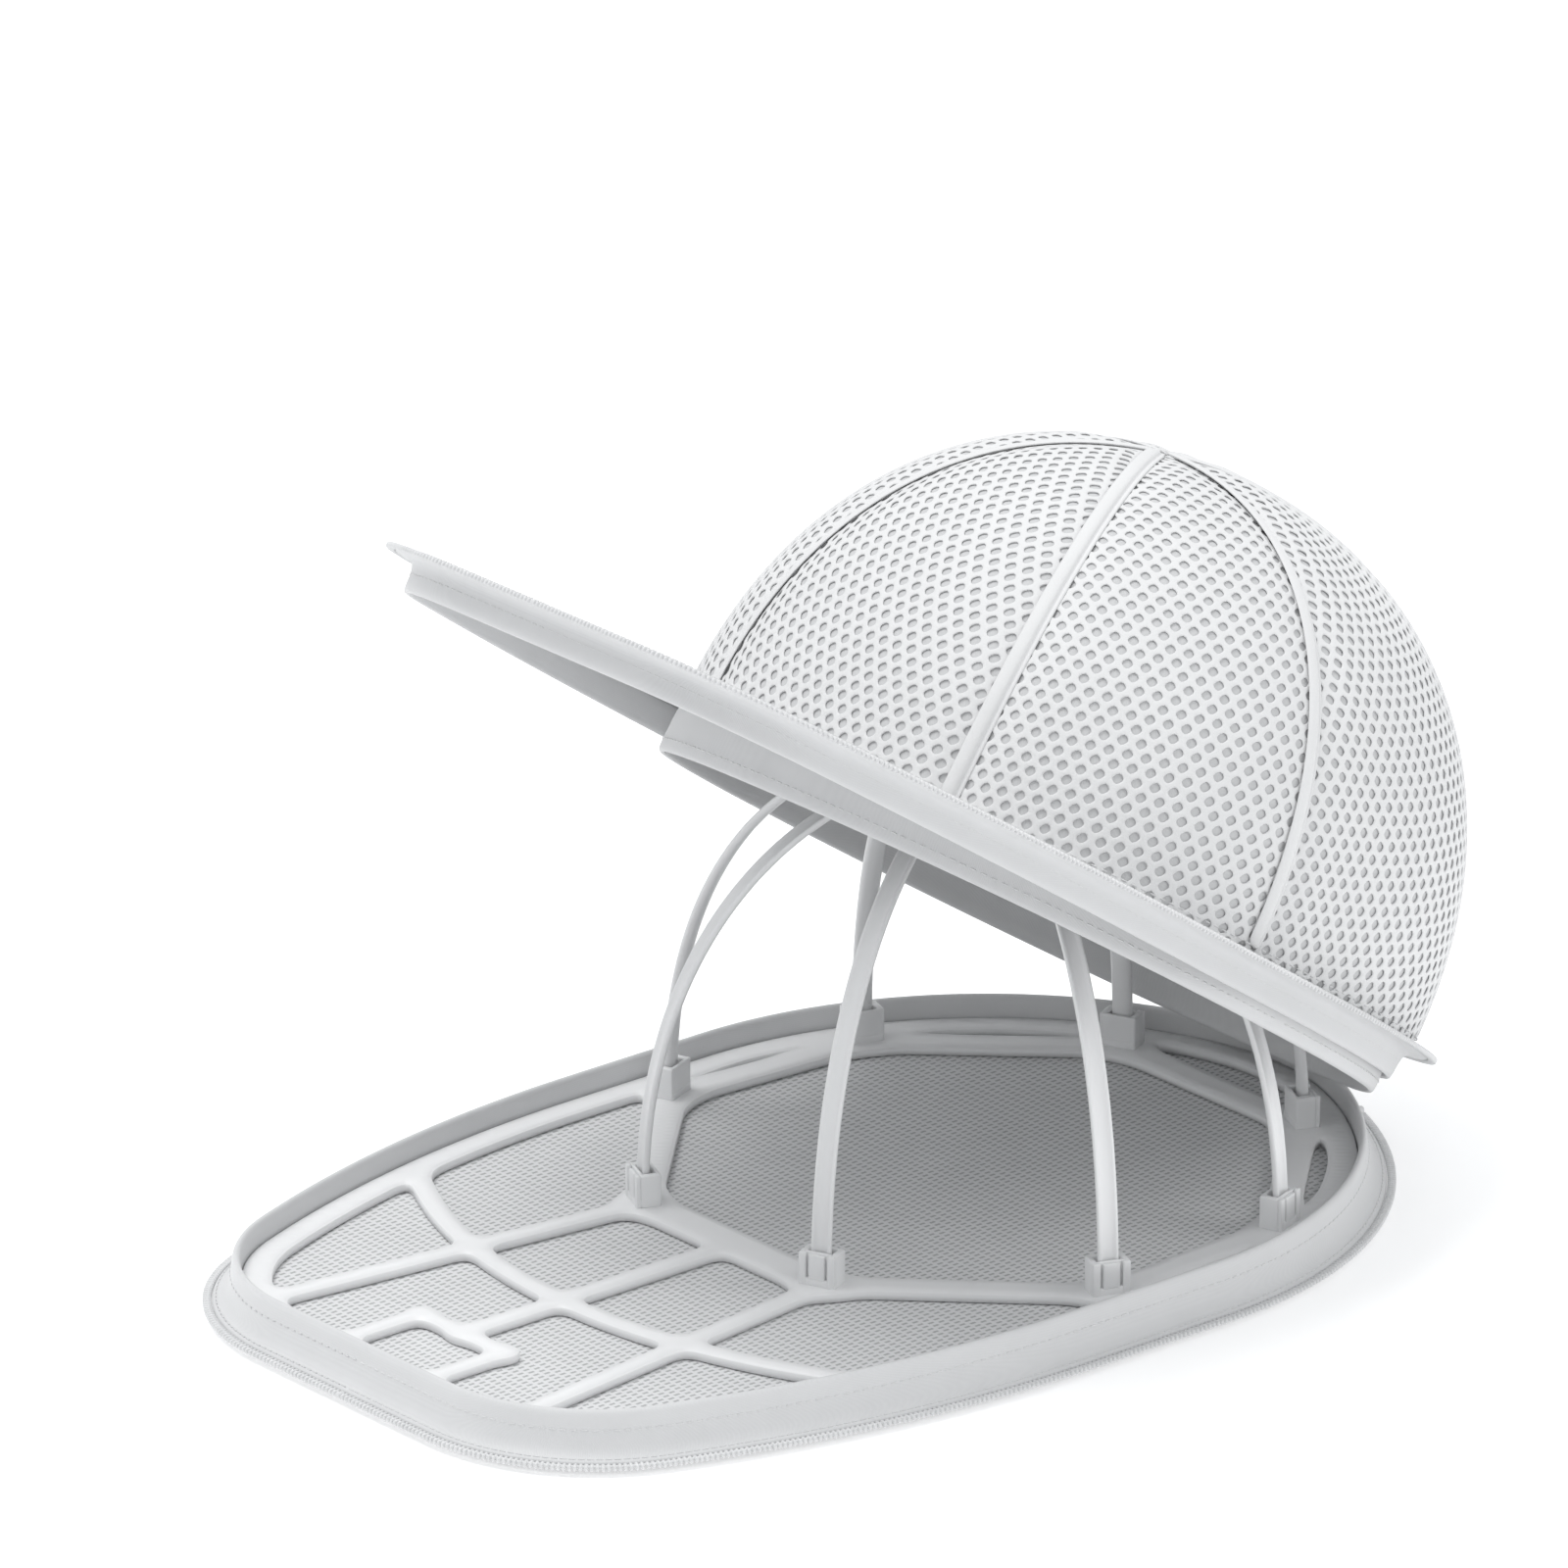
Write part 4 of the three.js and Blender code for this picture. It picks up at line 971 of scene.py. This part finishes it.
def hinge_point(x, t):
    """A point of the hinge cloth at rest, in plan: t runs from 0 on the base to 1 on the lid."""
    rear = REAR_Y if abs(x) < 1e-6 else None
    low, high = 100.0, REAR_Y + 1
    for _ in range(30):
        half = (low + high) / 2
        low, high = (half, high) if float(inset_at(np.array(x), np.array(half))) > 0 else (low, half)
    edge = rear or low
    base_low, base_high = Vector((x, edge - 6.7, 6.2)), Vector((x, edge - 6.5, 9.4))
    lid_low = LID_TO_PLAN @ Vector((x, edge - 8.2, 15.6))
    lid_high = LID_TO_PLAN @ Vector((x, edge - 8.1, 20.4))
    if t < 0.3:
        return base_low.lerp(base_high, t / 0.3)
    if t > 0.65:
        return lid_low.lerp(lid_high, (t - 0.65) / 0.35)
    s = (t - 0.3) / 0.35
    pull_up = (base_high - base_low) * 0.55
    pull_on = (lid_high - lid_low) * 0.45
    return ((1 - s) ** 3 * base_high + 3 * s * (1 - s) ** 2 * (base_high + pull_up)
            + 3 * s * s * (1 - s) * (lid_low - pull_on) + s ** 3 * lid_low)


hinge_cloth = bmesh.new()
bmesh.ops.create_grid(hinge_cloth, x_segments=36, y_segments=20, size=0.5, matrix=Matrix.Translation((0.5, 0.5, 0)))
for vert in hinge_cloth.verts:
    vert.co = hinge_point((vert.co.x * 2 - 1) * HINGE_HALF, vert.co.y)
bmesh.ops.recalc_face_normals(hinge_cloth, faces=hinge_cloth.faces)
hinge_area = sum(face.calc_area() for face in hinge_cloth.faces) * 1e-6
hinge_piece = piece(
    hinge_cloth, "cloth_hinge", None, tape_finish, ["hinge_strip_lower", "hinge_strip_upper"], wall=0.6)
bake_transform(hinge_piece)
max(0.010, hinge_area / 0.055)

# The end stops: at each end of both rows of teeth a small moulded clip is pressed on, so that the
# slider can't run off beside the hinge.
for on_lid, z, body, names in (
        (False, 2.4, "base", ("base_stop_right", "base_stop_left")),
        (True, 23.8, "lid", ("lid_stop_right", "lid_stop_left"))):
    for side, name in zip((1, -1), names):
        stop = bmesh.new()
        place = next(walk(1.2, 0.01, 26.7))
        here = Matrix.Translation((*place[0], z)) @ Matrix.Rotation(place[1], 4, "Z")
        soft_block(stop, here, (2.1, 3.1, 2.1), 0.5)
        soft_block(stop, here @ Matrix.Translation((0, 0, 0.95)), (0.8, 2.4, 0.5), 0.15)
        if side < 0:
            bmesh.ops.transform(stop, matrix=Matrix.Scale(-1, 4, (1, 0, 0)), verts=stop.verts)
            bmesh.ops.reverse_faces(stop, faces=stop.faces)
        piece(stop, f"{name}_clip", body, zip_finish, [name], on_lid=on_lid)

# The slider and its pull: moulded nylon. The slider's two plates ride over the base teeth, and two
# lugs hold a pin on which the flat pull turns. The pull has a rim, a neck and a thumb hole.
SLIDER_AT = Vector((-(HALF_WIDTH - 1.2), 38.0, 2.4))
PIN_UP = 4.4


def at_slider(x, y, z):
    return Matrix.Translation(SLIDER_AT + Vector((x, y, z)))


slider = bmesh.new()
for side in (1, -1):
    soft_block(slider, at_slider(0, 0, side * 1.52), (5.2, 8.9, 0.95), 0.4)
    soft_block(slider, at_slider(side * 2.08, 0, 4.0), (0.95, 2.6, 3.4), 0.4)
soft_block(slider, at_slider(-2.1, 0, 0), (0.9, 8.6, 3.0), 0.3)
soft_block(slider, at_slider(0, -3.3, 2.05), (3.2, 1.4, 0.5), 0.2)
pin_place = at_slider(0, 0, PIN_UP) @ Matrix.Rotation(math.pi / 2, 4, "Y")
bmesh.ops.create_cone(slider, cap_ends=True, segments=20, radius1=0.7, radius2=0.7, depth=4.6, matrix=pin_place)
piece(slider, "slider", "slider", zip_finish, ["zip_slider"])

pull = bmesh.new()
eye = [(1.02, -1.25), (1.6, -1.25), (1.7, -1.1), (1.7, 1.1), (1.6, 1.25), (1.02, 1.25)]
ring = [pull.verts.new((x, 0, r)) for r, x in eye]
pull_edges = [pull.edges.new(pair) for pair in zip(ring, ring[1:] + ring[:1])]
bmesh.ops.spin(pull, geom=pull_edges, cent=(0, 0, 0), axis=(1, 0, 0), angle=2 * math.pi, steps=24, use_merge=True)
bmesh.ops.remove_doubles(pull, verts=pull.verts, dist=0.01)
soft_block(pull, Matrix.Translation((0, 2.9, 0)), (2.4, 2.8, 1.15), 0.3)
thumb = bmesh.ops.create_circle(
    pull, cap_ends=False, segments=32, radius=1.2, matrix=Matrix.Translation((0, 16.9, 0)))
outer = bmesh.ops.create_circle(
    pull, cap_ends=False, segments=32, radius=1.0, matrix=Matrix.Translation((0, 11.6, 0)))
for vert in outer["verts"]:
    angle = math.atan2(vert.co.y - 11.6, vert.co.x)
    c, s = math.cos(angle), math.sin(angle)
    size = (abs(c) ** 5 + abs(s) ** 5) ** -0.2
    vert.co.x, vert.co.y = 2.3 * size * c, 11.6 + 8.3 * size * s
loops = [e for v in thumb["verts"] + outer["verts"] for e in v.link_edges]
tab = bmesh.ops.bridge_loops(pull, edges=list(set(loops)))
thick = bmesh.ops.extrude_face_region(pull, geom=tab["faces"], use_keep_orig=True)
raised = [v for v in thick["geom"] if isinstance(v, bmesh.types.BMVert)]
bmesh.ops.translate(pull, verts=raised, vec=(0, 0, 0.6))
lowered = {v for face in tab["faces"] for v in face.verts}
bmesh.ops.translate(pull, verts=list(lowered), vec=(0, 0, -0.6))
bmesh.ops.recalc_face_normals(pull, faces=pull.faces)
pull.transform(at_slider(0, 0, PIN_UP))
piece(pull, "pull", "pull", zip_finish, ["pull_tab"], smooth=False)
